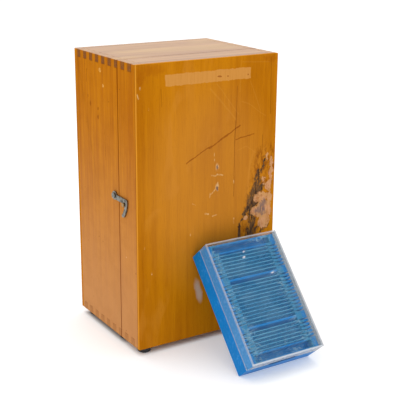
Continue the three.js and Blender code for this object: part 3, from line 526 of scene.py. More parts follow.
def dents(graph, place, base):
    """Small dark specks and pale nicks, and where they are."""
    speck = graph.step(graph.cells(place, 95), 0.05, 0.09, 1.0, 0.0)
    speck = speck * graph.step(graph.noise(place, 23, 1), 0.56, 0.6)
    base = graph.shade(speck * 0.6, base, SPECK)
    nick = graph.step(graph.cells(graph.moved(place, (0.4, 0.2, 0.7)), 70), 0.04, 0.07, 1.0, 0.0)
    nick = nick * graph.step(graph.noise(graph.moved(place, (1, 0, 0)), 21, 1), 0.58, 0.61)
    return graph.mix(nick * 0.55, base, NICK), speck, nick


def bleached_with_sheen(graph, place, streak, tone):
    """The paler wood of upward faces: rubbed and sunned, and lightened by a painted sheen."""
    base = graph.mix(graph.step(streak, 0.36, 0.66), tone, BLEACHED_STREAK)
    stretched = graph.scaled(graph.moved(place, (3, 1, 0)), (0.4, 1, 1))
    sun = graph.step(graph.noise(stretched, 14, 2), 0.54, 0.66)
    return graph.mix(sun * 0.45, base, SUNNED)


def end_grain(graph, place, crown, tone, depth):
    """Where the ends of the cross boards show in the sides, and their colour."""
    x, _, z = graph.split(place)
    end = graph.step(abs(x), CASE_HIGH.x - depth, CASE_HIGH.x - depth / 2)
    end = end * graph.step(z, CASE_LOW.z + 0.02, CASE_LOW.z + 0.2, 0.3, 1.0)
    end = end * (1 - crown) * graph.step(graph.noise(place, 210, 3, 0.6), 0.3, 0.45, 0.6, 1.0)
    rings = graph.noise(graph.scaled(place, (1, 1, 3.2)), 420, 3, 0.7)
    return end, graph.mix(graph.step(rings, 0.35, 0.7), tone, END_RING)


def varnished(name, tone, dark, crown_fade_and_sheen, axis="z", seed=0.0, ends=None, pale_low=0.0):
    """Varnished boards, whose ends can show end grain, and which can grow paler towards the foot."""
    graph = Graph(name)
    place = graph.position()
    _, y, z = graph.split(place)
    fine, streak, slow = grain(graph, place, axis, seed)
    base = graph.mix(graph.step(streak * 0.7 + slow * 0.5, 0.42, 0.76), tone, dark)
    base = graph.shade(graph.step(fine, 0.5, 0.72, 0.0, 0.42), base, GRAIN_LINE)
    pores = graph.noise(graph.scaled(place, PORE_STRETCH[axis]), 2600, 1)
    base = graph.shade(graph.step(pores, 0.68, 0.78, 0.0, 0.35), base, PORE)
    # The boards grow paler towards the foot.
    if pale_low:
        low = graph.step(z, CASE_LOW.z - 0.05, CASE_LOW.z + 0.3, pale_low, 0.0)
        base = graph.mix(low, base, PALER_FOOT)
    # A painted shadow darkens the narrow gap between the door and the carcass, on the sides and on the top.
    seam_shadow = graph.band(y, SEAM_Y - SEAM_REACH, SEAM_Y + SEAM_REACH, SEAM_SOFT)
    base = graph.shade(seam_shadow * 0.75, base, PAINTED_SEAM_SHADOW)
    if pale_low:
        base = side_marks(graph, place, base)
    base = edge_grime(graph, place, base)
    base, speck, nick = dents(graph, place, base)

    # The top face takes a paler colour: partly faded varnish, partly a painted sheen.
    crown = graph.step(z, CASE_HIGH.z - 0.0007, CASE_HIGH.z - 0.0003)
    top = graph.shade(seam_shadow * 0.85, bleached_with_sheen(graph, place, streak, crown_fade_and_sheen), PAINTED_TOP_SEAM_SHADOW)
    base = graph.mix(crown, base, top)
    rough = 0.36 + slow * 0.12 + fine * 0.08
    if ends:
        end, end_colour = end_grain(graph, place, crown, *ends)
        base = graph.mix(end * 0.93, base, end_colour)
        rough = rough + end * 0.25
    height = fine * 0.25 + streak * 0.25 - pores * 0.15 - speck * 0.6 - nick * 0.5
    normal = graph.bump(height, 0.00022, 0.55)
    coat = (1 - nick * 0.5) * (crown * 0.82 + 0.05)
    return graph.principled(VARNISH_GLOSS, base_color=base, roughness=rough, normal=normal, coat_weight=coat)


def plain_wood():
    """Oiled, unvarnished wood."""
    graph = Graph("plain_wood")
    fine, streak, _ = grain(graph, graph.position(), "x", 0.9)
    base = graph.mix(graph.step(streak, 0.35, 0.7), (0.58, 0.37, 0.19), (0.42, 0.24, 0.11))
    base = graph.shade(graph.step(fine, 0.5, 0.7, 0.0, 0.4), base, (0.6, 0.48, 0.36))
    normal = graph.bump(fine + streak, 0.0002, 0.5)
    return graph.principled(base_color=base, roughness=0.55 + fine * 0.2, normal=normal)


# ---------------------------------------------------------------- the door's worn front

# Marks on the door's front, as places across and up in millimetres.
BARE_PATCHES = (
    ((79.6, 213.5), (1.6, 4.2)),
    ((86.0, 204.0), (3.0, 9.0)),
    ((86.8, 190.5), (2.8, 9.5)),
    ((75.0, 187.0), (3.2, 2.6)),
    ((78.0, 181.5), (3.4, 1.8)),
    ((83.6, 178.5), (4.6, 7.0)),
    ((71.5, 165.5), (10.0, 6.0)),
    ((85.0, 163.5), (3.6, 8.0)),
    ((76.0, 149.0), (11.5, 12.0)),
    ((77.5, 135.5), (8.0, 9.0)),
    ((62.5, 149.5), (4.6, 5.5)),
    ((87.0, 147.0), (2.2, 8.0)),
)
BURNT_STROKES = (
    ((78.2, 214.5), (76.5, 208.0), 3.4),
    ((76.0, 208.0), (74.0, 200.0), 4.0),
    ((69.0, 198.0), (66.0, 186.0), 8.0),
    ((67.0, 188.0), (60.5, 170.0), 12.0),
    ((75.0, 179.0), (65.0, 171.0), 10.0),
    ((60.5, 172.0), (57.5, 154.0), 13.0),
    ((66.0, 160.0), (57.0, 152.0), 8.0),
    ((56.5, 158.0), (49.5, 148.0), 8.5),
    ((50.0, 150.0), (46.0, 140.0), 4.0),
    ((58.0, 147.0), (61.5, 134.0), 9.5),
    ((61.0, 138.0), (55.0, 124.0), 12.0),
    ((43.2, 137.0), (42.2, 118.0), 4.6),
    ((72.0, 131.0), (60.0, 122.0), 7.0),
    ((84.0, 130.0), (74.0, 122.0), 4.0),
)
SINGED_STROKE = ((80, 212), (60, 128), 44.0)
DARK_SCRATCHES = (
    ((-30.0, 220.0), (2.0, 235.5), 1.8),
    ((0.0, 233.5), (26.0, 246.5), 2.2),
    ((20.0, 242.5), (41.0, 254.5), 2.0),
    ((35.5, 239.2), (60.0, 242.7), 1.6),
)
CRACKS = (
    ((36.2, 300.0), (35.5, 268.0), 0.7),
    ((35.7, 270.7), (33.8, 233.0), 1.1),
    ((33.8, 233.0), (34.0, 172.0), 0.9),
    ((72.8, 240.0), (72.8, 222.0), 1.2),
    ((81.8, 329.0), (83.2, 264.0), 0.9),
    ((-62.0, 305.0), (-61.0, 286.0), 0.8),
)
PALE_SCUFFS = (
    ((3.6, 201.2), (9.5, 200.2), 2.4),
    ((11.0, 201.6), (18.0, 199.2), 2.6),
    ((7.1, 226.5), (7.3, 216.0), 1.7),
    ((11.4, 192.0), (12.4, 187.5), 1.6),
    ((9.0, 184.0), (0.5, 178.5), 1.7),
    ((1.0, 181.0), (0.4, 175.0), 1.2),
    ((-5.5, 157.2), (-1.0, 156.0), 2.8),
    ((4.5, 152.6), (11.0, 153.5), 1.8),
    ((34.6, 144.8), (34.4, 139.0), 2.2),
    ((-24.2, 136.5), (-24.2, 134.5), 1.6),
    ((-21.5, 171.0), (-18.0, 169.0), 1.4),
    ((-91.0, 302.0), (-89.6, 298.0), 2.2),
    ((-87.0, 308.5), (-86.8, 306.5), 2.4),
    ((-77.6, 285.6), (-77.4, 284.4), 2.0),
    ((-83.4, 130.6), (-83.4, 129.2), 2.2),
    ((-74.8, 98.6), (-74.6, 97.0), 2.2),
    ((32.6, 191.0), (33.0, 187.0), 1.6),
)
FIGURE_LINES = (
    ((2.3, 300.0), (36.0, 262.0), 2.6),
    ((10.0, 305.0), (40.0, 268.0), 1.4),
    ((54.5, 304.0), (70.0, 270.0), 1.6),
    ((45.0, 282.0), (79.0, 262.0), 1.4),
    ((36.5, 226.0), (48.0, 229.5), 1.4),
    ((48.0, 229.5), (64.0, 220.0), 1.4),
    ((42.0, 328.0), (42.4, 293.0), 1.6),
    ((44.0, 326.5), (81.0, 324.0), 1.4),
)
CORNER_GRIME = (((-72.0, 325.5), (15.0, 5.0)), ((-86.0, 318.0), (5.0, 9.0)), ((82.0, 328.0), (9.0, 4.0)))
RUBBED_MIDDLE = ((0.0, 190.0), (75.0, 105.0))
SMUDGE = ((-13.3, 64.6), (4.2, 13.5))
SMUDGE_LEAN = 0.19
ROUND_SPOT = ((51.4, 143.3), (3.0, 3.0))
PALE_RINGS = (((10.9, 209.8), (2.6, 4.2)), ((11.2, 186.0), (2.2, 4.6)))
LEAD_SPOTS = (((10.7, 209.8), (1.1, 2.3)), ((11.2, 184.8), (1.1, 2.6)))
STAINS = (((74.0, 150.5), (6.5, 8.0)), ((77.5, 158.0), (3.2, 5.0)), ((66.0, 149.0), (2.4, 3.6)))
TAPE_SPOTS = (((12.1, 312.3), (3.0, 1.1)), ((23.8, 312.3), (1.5, 0.8)), ((50.6, 311.6), (0.9, 0.9)))
TAPE = ((-56.5, 54.2), (307.2, 319.9))
GLUE_DEPTHS = (0.0034, 0.006)

# Their colours. Those named as a shade darken the varnish, and the others cover it.
PANEL_GRAIN_SHADE = (0.66, 0.55, 0.42)
PANEL_PORE_SHADE = (0.5, 0.34, 0.2)
PANEL_FIGURE = (0.56, 0.215, 0.02)
RUBBED_VARNISH = (0.56, 0.235, 0.05)
FIGURE_LINE = (0.72, 0.36, 0.06)
SCRATCH_SHADE = (0.46, 0.26, 0.12)
CRACK_SHADE = (0.3, 0.16, 0.12)
SCUFFED = (0.74, 0.5, 0.22)
RINGED = (0.72, 0.5, 0.26)
SMUDGED = (0.55, 0.48, 0.42)
CORNER_SHADE = (0.82, 0.7, 0.75)
UNDER_TAPE = ((0.58, 0.26, 0.056), (0.5, 0.205, 0.036))
TAPE_SPOT_SHADE = (0.5, 0.3, 0.18)
SINGED_SHADE = (0.42, 0.27, 0.2)
BARE_ORANGE = (0.60, 0.27, 0.09)
BARE_PINK = (0.6, 0.3, 0.15)
BARE_SHADES = ((0.7, 0.56, 0.46), (0.7, 0.48, 0.34), (0.6, 0.38, 0.24))
CHARRED = ((0.13, 0.07, 0.032), (0.036, 0.024, 0.018))
GREY_STAIN = (0.13, 0.095, 0.1)
LEAD = (0.09, 0.075, 0.085)
LIT_EDGE = (0.72, 0.31, 0.03)
GLUE_SHADE = (0.4, 0.25, 0.15)


class DoorFront:
    """The door's front while its colour is worked out: places on it, its grain, and the colour so far."""

    def __init__(self, settings):
        self.graph = graph = Graph("worn_door_varnish")
        self.settings = settings
        self.place = place = graph.position()
        self.x, self.y, self.z = graph.split(place)
        self.fine, self.streak, self.slow = grain(graph, place, "z", 0.3)
        self.front = graph.step(self.y, CASE_LOW.y + 0.0012, CASE_LOW.y + 0.0022, 1.0, 0.0)

        # Marks wander a little from their straight paths, and the flaked patch's edge is rough.
        self.drift = graph.noise(place, 75, 3, 0.6) - 0.5
        self.crumble = graph.noise(graph.moved(place, (2, 0, 1)), 260, 4, 0.65)
        self.mark_x = self.x + self.drift * 0.0045
        self.mark_z = self.z + (graph.noise(graph.moved(place, (0, 0, 5)), 75, 3, 0.6) - 0.5) * 0.0045
        self.rough_x = self.x + (self.crumble - 0.5) * 0.011 + self.drift * 0.012
        self.rough_z = self.z + (graph.noise(graph.moved(place, (7, 0, 0)), 210, 4, 0.65) - 0.5) * 0.013

    def mix(self, factor, tone):
        self.base = self.graph.mix(factor, self.base, tone)

    def shade(self, factor, tone):
        self.base = self.graph.shade(factor, self.base, tone)

    def figure(self):
        """Plywood's grain, slow figure and pores, rubbed paler in the middle."""
        graph = self.graph
        tone = graph.step(self.streak * 0.5 + self.slow * 0.75, 0.42, 0.86)
        self.base = graph.mix(tone, self.settings.panel_tone, self.settings.panel_dark)
        self.shade(graph.step(self.fine, 0.48, 0.72, 0.0, 0.4), PANEL_GRAIN_SHADE)
        flow = graph.noise(graph.scaled(self.place, (1, 1, 0.4)), 34, 2, 0.5, 1.2)
        self.mix(graph.step(flow, 0.55, 0.72, 0.0, 0.35), PANEL_FIGURE)
        pores = graph.noise(graph.scaled(self.place, (1, 1, 0.07)), 2400, 1)
        self.shade(graph.step(pores, 0.66, 0.76, 0.0, 0.35), PANEL_PORE_SHADE)
        self.mix(ellipses(graph, self.x, self.z, (RUBBED_MIDDLE,), 0.95) * 0.3, RUBBED_VARNISH)
        wave = graph.noise(graph.scaled(self.place, (1, 1, 0.3)), 26, 1) - 0.5
        self.mix(strokes(graph, self.x + wave * 0.02, self.z, FIGURE_LINES) * self.front * 0.1, FIGURE_LINE)

    def marks(self):
        """Scratches, cracks, scuffs, pale rings, a smudge, and grime in the corners."""
        graph = self.graph
        scratch = strokes(graph, self.mark_x, self.mark_z, DARK_SCRATCHES) * self.front
        self.scratch = scratch * graph.step(self.crumble, 0.3, 0.5, 0.45, 1.0)
        self.shade(self.scratch * 0.66, SCRATCH_SHADE)
        crack = strokes(graph, self.x + self.drift * 0.0012, self.z, CRACKS)
        self.crack = crack * graph.step(self.streak, 0.3, 0.55, 0.35, 1.0)
        self.shade(self.crack * 0.6, CRACK_SHADE)
        scuff = strokes(graph, self.mark_x, self.mark_z, PALE_SCUFFS) * self.front
        self.scuff = scuff * graph.step(self.crumble, 0.36, 0.66)
        self.mix(self.scuff * 0.62, SCUFFED)
        ring = ellipses(graph, self.mark_x, self.mark_z, PALE_RINGS, 0.7) * self.front
        self.mix(ring * graph.step(self.crumble, 0.3, 0.6) * 0.5, RINGED)
        leaning = self.x + (self.z - SMUDGE[0][1] * MM) * SMUDGE_LEAN + self.drift * 0.006
        self.mix(ellipses(graph, leaning, self.mark_z, (SMUDGE,), 0.95) * self.front * 0.6, SMUDGED)
        grime = ellipses(graph, self.rough_x, self.rough_z, CORNER_GRIME, 0.95) * self.front
        self.shade(grime * 0.6, CORNER_SHADE)

    def tape(self):
        """Where a strip of tape kept the light off, and lifted the top of the varnish."""
        graph = self.graph
        (left, right), (foot, head) = TAPE
        torn = (graph.noise(graph.scaled(self.place, (1, 1, 0.2)), 150, 4, 0.7) - 0.5) * 0.0042
        ghost = graph.band(self.mark_x, left * MM, right * MM, 0.0005)
        self.ghost = ghost * graph.band(self.z + torn, foot * MM, head * MM, 0.00035) * self.front
        self.mix(self.ghost * 0.92, graph.mix(graph.step(self.fine, 0.4, 0.7, 0.0, 0.5), *UNDER_TAPE))
        self.shade(ellipses(graph, self.mark_x, self.mark_z, TAPE_SPOTS) * 0.75, TAPE_SPOT_SHADE)

    def bare_wood(self, splinter):
        """The colour of the wood under the flaked face."""
        graph = self.graph
        grain_shade, splinter_shade, crumble_shade = BARE_SHADES
        tone = graph.mix(graph.step(self.slow, 0.4, 0.62), self.settings.bare_tone, BARE_ORANGE)
        tone = graph.shade(graph.step(self.fine, 0.45, 0.7, 0.0, 0.4), tone, grain_shade)
        tone = graph.mix(graph.step(self.drift, -0.06, 0.1, 0.0, 0.75), tone, BARE_PINK)
        tone = graph.shade(graph.step(splinter, 0.5, 0.62, 0.0, 0.45), tone, splinter_shade)
        return graph.shade(graph.step(self.crumble, 0.56, 0.64, 0.0, 0.55), tone, crumble_shade)

    def flaked_patch(self):
        """Blackened splinters, bare wood, a grey stain in the bare wood, and two lead-grey spots."""
        graph = self.graph
        x, z, front = self.rough_x, self.rough_z, self.front
        splinter = graph.noise(graph.scaled(graph.moved(self.place, (3, 0, 2)), (1, 1, 0.3)), 330, 4, 0.75)
        burnt = strokes(graph, x, z, BURNT_STROKES) * graph.step(splinter, 0.35, 0.5)
        bare = ellipses(graph, x, z, BARE_PATCHES, 0.1)
        bare = bare.most(ellipses(graph, self.mark_x, self.mark_z, (ROUND_SPOT,), 0.2))
        self.damage = graph.step(bare.most(burnt), 0.1, 0.6) * front
        singed = strokes(graph, x, z, (SINGED_STROKE,)) * front
        self.shade(singed * graph.step(splinter, 0.44, 0.62, 0.0, 0.75), SINGED_SHADE)
        self.mix(bare * front, self.bare_wood(splinter))
        streaks = graph.noise(graph.scaled(graph.moved(self.place, (5, 0, 1)), (1, 1, 0.22)), 620, 3, 0.7)
        char = graph.mix(graph.step(streaks, 0.42, 0.58), *CHARRED)
        self.mix(burnt * front * graph.step(bare, 0.2, 0.9, 0.95, 0.25), char)
        stain = ellipses(graph, x, z, STAINS, 0.7) * graph.step(streaks, 0.36, 0.58, 0.3, 1.0)
        self.mix(stain * front * 0.85, GREY_STAIN)
        lead = ellipses(graph, self.mark_x, self.mark_z, LEAD_SPOTS, 0.5)
        self.mix(lead * front * 0.8, LEAD)

    def edges(self):
        """The panel's edge catches the light, and a glue line runs behind it."""
        graph = self.graph
        glue = graph.band(self.y, *(CASE_LOW.y + depth for depth in GLUE_DEPTHS), 0.0003)
        edge = graph.step(self.y, CASE_LOW.y + 0.0002, CASE_LOW.y + 0.0008) * (1 - glue)
        self.mix(edge * 0.6, LIT_EDGE)
        self.shade(glue * 0.5, GLUE_SHADE)

    def surface(self):
        """The finished material."""
        graph = self.graph
        damage, ghost = self.damage, self.ghost
        rough = 0.34 + self.slow * 0.14 + self.scuff * 0.2 + ghost * 0.16 + damage * 0.35
        flake = graph.noise(graph.moved(self.place, (1, 4, 0)), 420, 4, 0.7)
        height = self.fine * 0.1 + self.streak * 0.08
        height = height - self.scratch * 0.5 - self.crack * 0.5 - ghost * 0.18
        height = height - damage * 1.3 + damage * flake * 1.1
        look = {
            "base_color": self.base,
            "roughness": rough.least(0.95),
            "normal": graph.bump(height, 0.00045, 0.6),
            "coat_weight": (0.05 - damage * 0.05 - ghost * 0.03).most(0.0),
        }
        return graph.principled(VARNISH_GLOSS, **look)


def worn_panel(settings):
    """The varnished door panel and every mark on its front."""
    door = DoorFront(settings)
    door.figure()
    door.marks()
    door.tape()
    door.flaked_patch()
    door.edges()
    return door.surface()


# ---------------------------------------------------------------- metal, plastic, rubber and glass


def scratches(graph, place, seed=0.0):
    """Fine wandering scratches, 1 in a scratch."""
    found = []
    settings = {"rotation_type": "Z_AXIS"}
    for turn, density in ((0.3, 1080), (1.4, 1560), (2.3, 900)):
        turned_place = graph.add("ShaderNodeVectorRotate", settings, {"Vector": place, "Angle": turn})
        moved = graph.moved(turned_place, (seed, seed, seed))
        lines = graph.noise(graph.scaled(moved, (1, 0.03, 0.2)), density, 1)
        found.append(graph.step(lines, 0.66, 0.69))
    return strongest(found)


def metal(name, tone, dark, roughness, grime, brushed):
    """Metal with tarnish in patches and a brushed or polished surface."""
    graph = Graph(name)
    place = graph.position()
    patch = graph.step(graph.noise(place, 190, 4, 0.65), 0.45, 0.68)
    fine = graph.noise(graph.scaled(place, (1, 1, 0.04)), 2500, 2)
    base = graph.mix(patch * grime, tone, dark)
    rough = roughness + patch * grime * 0.3 + (fine - 0.5) * brushed
    grit = graph.noise(place, 900, 2)
    normal = graph.bump(fine * brushed * 2 + grit * grime * 0.5, 0.00006, 0.5)
    return graph.principled({"Metallic": 1.0}, base_color=base, roughness=rough, normal=normal)


def enamel(settings):
    """Glossy black stove enamel with fine dust and wear."""
    graph = Graph("black_enamel")
    place = graph.position()
    ripple = graph.noise(place, 160, 2)
    dust = graph.step(graph.noise(place, 1400, 2, 0.7), 0.62, 0.74)
    base = graph.mix(dust * 0.22, settings.enamel, (0.2, 0.19, 0.17))
    rough = 0.16 + dust * 0.3 + graph.step(ripple, 0.4, 0.7) * 0.1
    normal = graph.bump(ripple + dust * 0.3, 0.0001, 0.35)
    fixed = {"Coat Weight": 0.5, "Coat Roughness": 0.08}
    return graph.principled(fixed, base_color=base, roughness=rough, normal=normal)


def rubber():
    """Dusty black rubber."""
    graph = Graph("foot_rubber")
    place = graph.position()
    dust = graph.step(graph.noise(place, 600, 3, 0.6), 0.5, 0.75)
    base = graph.mix(dust * 0.4, (0.016, 0.016, 0.017), (0.09, 0.085, 0.08))
    normal = graph.bump(dust, 0.0001, 0.4)
    return graph.principled(base_color=base, roughness=0.7 + dust * 0.2, normal=normal)


def blue_plastic(settings):
    """The moulded tray, slightly scuffed, with painted shade and a painted glow."""
    graph = Graph("blue_plastic")
    place = graph.position()
    cloud = graph.noise(place, 30, 2)
    scuff = scratches(graph, place)
    base = graph.mix(graph.step(cloud, 0.3, 0.7), settings.blue, (0.0, 0.14, 0.4))
    base = graph.mix(scuff * 0.12, base, (0.2, 0.45, 0.75))
    x, y, z = graph.split(leaning_place(graph, settings))
    rim = settings.rim_height
    # Painted shadow: the tray's shoulder under the lid's thumb notch is darkened.
    notch_shadow = graph.band(z, rim - 0.002, rim + 0.0036, 0.0003) * graph.step(y, 0.0022, 0.003, 1.0, 0.0)
    notch_shadow = notch_shadow * graph.step(abs(x), 0.0175, 0.019, 1.0, 0.0)
    base = graph.shade(notch_shadow * 0.8, base, (0.3, 0.22, 0.25))
    # The comb's teeth, where the slides' ends pass between them, are painted darker as painted shade.
    reach = abs(x) + (graph.noise(place, 240, 2) - 0.5) * 0.004
    slide_end = settings.slide_length / 2
    rubbed = graph.step(reach, slide_end + 0.0022, slide_end + 0.003, 1.0, 0.0)
    rubbed = rubbed * graph.step(abs(x), slide_end * 0.84, slide_end * 0.86)
    rubbed = rubbed * graph.step(z, rim + 0.0045, rim + 0.005)
    base = graph.mix(rubbed * 0.75, base, (0.035, 0.185, 0.31))
    rough = 0.3 + scuff * 0.2 + cloud * 0.1
    # Painted glow: the tray gives off its own blue, standing in for light passing through the plastic.
    fixed = {"Specular IOR Level": 0.06, "Emission Strength": 0.15}
    normal = graph.bump(cloud, 0.0002, 0.2)
    return graph.principled(fixed, base_color=base, roughness=rough, normal=normal, emission_color=base)


def leaning_place(graph, settings):
    """Coordinates in the slide box's own frame: across, up its length, and out of its lid, in metres."""
    corner = box_corner(settings)
    moved = graph.moved(graph.position(), tuple(-value for value in corner))
    turn = {"rotation_type": "X_AXIS"}
    return graph.add("ShaderNodeVectorRotate", turn, {"Vector": moved, "Angle": settings.lean - math.pi / 2})


# Marks on the lid, as places across and up the box in millimetres.
LID_SMEARS = (
    ((26.0, 95.0), (8.0, 3.5)),
    ((29.0, 79.0), (7.0, 8.0)),
    ((27.0, 37.0), (9.0, 7.0)),
    ((12.0, 4.0), (14.0, 4.0)),
    ((3.0, 17.0), (2.0, 7.0)),
    ((33.0, 14.0), (9.0, 9.0)),
    ((-42.0, 122.0), (5.0, 16.0)),
    ((-41.0, 70.0), (4.5, 34.0)),
    ((-36.0, 30.0), (9.0, 30.0)),
    ((20.0, 139.0), (16.0, 3.0)),
)
LID_SPECKS = (((-3.6, 127.4), (1.0, 1.0)), ((-6.0, 121.0), (1.5, 1.2)), ((22.0, 96.0), (1.8, 0.8)))


def clear_plastic(settings):
    """The clear lid: hazy with age, whitish where its walls are seen edge on, and scratched all over."""
    graph = Graph("clear_plastic")
    place = leaning_place(graph, settings)
    x, y, z = graph.split(place)
    cloud = graph.noise(place, 48, 4, 0.6)
    blotch = graph.step(graph.noise(graph.scaled(place, (1, 1.6, 1)), 170, 4, 0.7), 0.52, 0.66)
    lines = scratches(graph, place, 0.3)
    side = settings.width / 2 - abs(x)
    ends = y.least(settings.length - y)
    rim = graph.step(side.least(ends), 0.0014, 0.0022, 1.0, 0.0)
    border = graph.step(side.least(ends), 0.0015, 0.013, 1.0, 0.0)
    top = graph.step(z, settings.thickness - 0.002, settings.thickness - 0.0012)
    foot = graph.step(z, settings.rim_height + 0.0008, settings.rim_height + 0.0016, 1.0, 0.0)
    face = graph.step(z, settings.thickness - 0.0025, settings.thickness - 0.002)
    # The right and lower walls are frosted with wear, and the other two are clearer.
    frosted = graph.step(x, 0.04, 0.045).most(graph.step(y, 0.001, 0.003, 1.0, 0.0))
    wander = (graph.noise(place, 130, 3, 0.6) - 0.5) * 0.012
    smears = ellipses(graph, x + wander, y - wander, LID_SMEARS, 0.5) * graph.step(blotch + lines, 0.2, 0.9)
    specks = ellipses(graph, x, y, LID_SPECKS, 0.3)
    wall = rim * (0.08 + frosted * 0.38 + (top.most(foot)) * 0.34)
    haze = 0.04 + graph.step(cloud, 0.35, 0.75) * 0.08 + lines * 0.08 + blotch * border * 0.1
    haze = haze + face * smears * 0.3
    outer = graph.step(x, settings.width / 2 - 0.0009, settings.width / 2 - 0.0005)
    # The left wall is full of the tray's blue, painted on as a reflection of the tray in the clear wall.
    tray_blue_in_wall = graph.step(x, -settings.width / 2 + 0.0014, -settings.width / 2 + 0.0022, 1.0, 0.0)
    tray_blue_in_wall = tray_blue_in_wall * (1 - top) * (1 - foot)
    haze = haze.most(face * specks * 0.7).most(wall).most(outer * 0.8).most(tray_blue_in_wall * 0.5)
    whitened = (rim * 0.75).most(face * specks)
    base = graph.mix(whitened, settings.haze, (0.72, 0.71, 0.74))
    base = graph.mix(outer, base, (0.2, 0.21, 0.22))
    base = graph.mix(tray_blue_in_wall, base, (0.07, 0.36, 0.74))
    rough = 0.16 + cloud * 0.2 + lines * 0.2 + smears * 0.3
    normal = graph.bump(lines + smears * 0.4, 0.00005, 0.5)
    fixed = {"IOR": 1.49, "Specular IOR Level": 0.4}
    return graph.principled(fixed, base_color=base, roughness=rough, alpha=haze.least(0.9), normal=normal)


def slide_glass(settings):
    """Thin glass tinted with the tray's blue as painted light, with a painted highlight along its upper
    edges, a painted glow, and dust.
    """
    graph = Graph("slide_glass")
    place = graph.position()
    height = graph.split(leaning_place(graph, settings))[2]
    dust = graph.step(graph.noise(place, 500, 3), 0.5, 0.7)
    top = settings.slide_floor + settings.slide_width
    # Painted highlight: the slides' upper edges are paler, as where they catch the light.
    edge = graph.step(height, top - 0.0005, top - 0.0002)
    uneven = graph.noise(graph.scaled(place, (0.3, 1, 1)), 130, 2)
    pale = graph.mix(graph.step(uneven, 0.4, 0.62), (0.085, 0.28, 0.42), (0.03, 0.2, 0.36))
    base = graph.mix(edge, graph.mix(dust * 0.3, (0.01, 0.16, 0.33), (0.08, 0.27, 0.42)), pale)
    # Painted glow: the glass gives off its own colour, standing in for light passing through the slides.
    fixed = {"IOR": 1.5, "Specular IOR Level": 0.2, "Emission Strength": 0.36}
    look = {"roughness": 0.2 + dust * 0.3, "alpha": 0.5 + dust * 0.15 + edge * 0.2}
    return graph.principled(fixed, base_color=base, emission_color=base, **look)


def lens_glass():
    """Coated glass with a violet bloom."""
    graph = Graph("lens_glass")
    bloom = graph.noise(graph.position(), 220, 2)
    base = graph.mix(bloom, (0.16, 0.12, 0.3), (0.1, 0.2, 0.28))
    look = {"roughness": 0.03 + bloom * 0.03, "alpha": 0.55 + bloom * 0.1}
    return graph.principled({"Coat Weight": 1.0}, base_color=base, **look)


def silvered():
    """A mirror with a little spotting."""
    graph = Graph("silvered_mirror")
    place = graph.position()
    spot = graph.step(graph.noise(place, 420, 3, 0.6), 0.66, 0.74)
    base = graph.mix(spot * 0.7, (0.88, 0.9, 0.9), (0.3, 0.27, 0.22))
    return graph.principled({"Metallic": 1.0}, base_color=base, roughness=0.03 + spot * 0.4)


# ---------------------------------------------------------------- places that the frame gives


def box_corner(settings):
    """The slide box's standing edge: the middle of its width, at the back of its foot."""
    low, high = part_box("slide_tray")
    return Vector(((low.x + high.x) / 2, high.y - settings.length * math.sin(settings.lean), 0))


def box_frame(settings):
    """From the slide box's own frame to the model's."""
    return Matrix.Translation(box_corner(settings)) @ Matrix.Rotation(math.pi / 2 - settings.lean, 4, "X")


def middle(name):
    """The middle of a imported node."""
    low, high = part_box(name)
    return (low + high) / 2


# ---------------------------------------------------------------- operators: the case


class MICROSCOPE_OT_case_boards(bpy.types.Operator):
    """Varnishes the carcass, the door and their panels"""

    bl_idname = "microscope.case_boards"
    bl_label = "Case Boards"

    def execute(self, context):
        case = context.scene.microscope_case
        end = (case.end_tone, 0.0004)
        tones = (case.board_tone, case.board_dark, case.top_fade_and_sheen)
        side = varnished("side_varnish", *tones, pale_low=case.paler_foot)
        across = varnished("top_varnish", *tones, "x", 0.5, end, pale_low=case.paler_foot)
        back = varnished("back_varnish", case.panel_tone, case.panel_dark, case.top_fade_and_sheen, seed=0.8)
        for part in ("carcass", "door"):
            for board in BOARDS:
                material = side if board.endswith("side") else across
                finish_node(f"{part}_{board}", material, case.edge_radius, smooth=False)
        finish_node("back_panel", back, case.edge_radius, smooth=False)
        finish_node("door_panel", worn_panel(case), case.edge_radius, smooth=False)
        return {"FINISHED"}


class MICROSCOPE_OT_case_fittings(bpy.types.Operator):
    """Finishes the hook, the stud, the hinges and the board inside"""

    bl_idname = "microscope.case_fittings"
    bl_label = "Hook and Hinges"

    def execute(self, context):
        zinc = metal("dull_zinc", (0.23, 0.225, 0.2), (0.06, 0.055, 0.045), 0.42, 0.8, 0.2)
        brass = metal("tarnished_brass", (0.36, 0.22, 0.09), (0.07, 0.04, 0.02), 0.4, 0.8, 0.1)
        for name in ("latch_hook", "latch_pivot_screw"):
            finish_node(name, zinc, 0.0003)
        finish_node("latch_stud", brass, 0.0004)
        for which in ("upper", "lower"):
            for part in ("case_leaf", "door_leaf", "pin"):
                finish_node(f"hinge_{which}_{part}", zinc, 0.0002)
        inside = plain_wood()
        for name in ("stand_board", "rail_left", "rail_right"):
            finish_node(name, inside, 0.0006, smooth=False)
        return {"FINISHED"}


class MICROSCOPE_OT_feet(bpy.types.Operator):
    """Turns the six rubber feet"""

    bl_idname = "microscope.feet"
    bl_label = "Feet"

    def execute(self, context):
        material = rubber()
        low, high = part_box("foot_door_left")
        radius = (high.x - low.x) / 2
        top = high.z
        dish = 0.0012
        profile = (
            (0, dish),
            (radius * 0.45, dish),
            (radius * 0.55, 0),
            (radius * 0.9, 0),
            (radius, 0.001),
            (radius * 0.94, top),
            (0, top),
        )
        model = turned("foot_model", profile, 40)
        soften(model, 0.0004)
        for row in ("door", "middle", "rear"):
            for side in ("left", "right"):
                node = f"foot_{row}_{side}"
                place = middle(node)
                foot = copy_of(model, f"rubber_{node}", Matrix.Translation((place.x, place.y, 0)))
                paint(foot, material)
                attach(foot, "door" if row == "door" else "carcass")
                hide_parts(node)
        bpy.data.objects.remove(model)
        return {"FINISHED"}


# ---------------------------------------------------------------- operators: the slide box


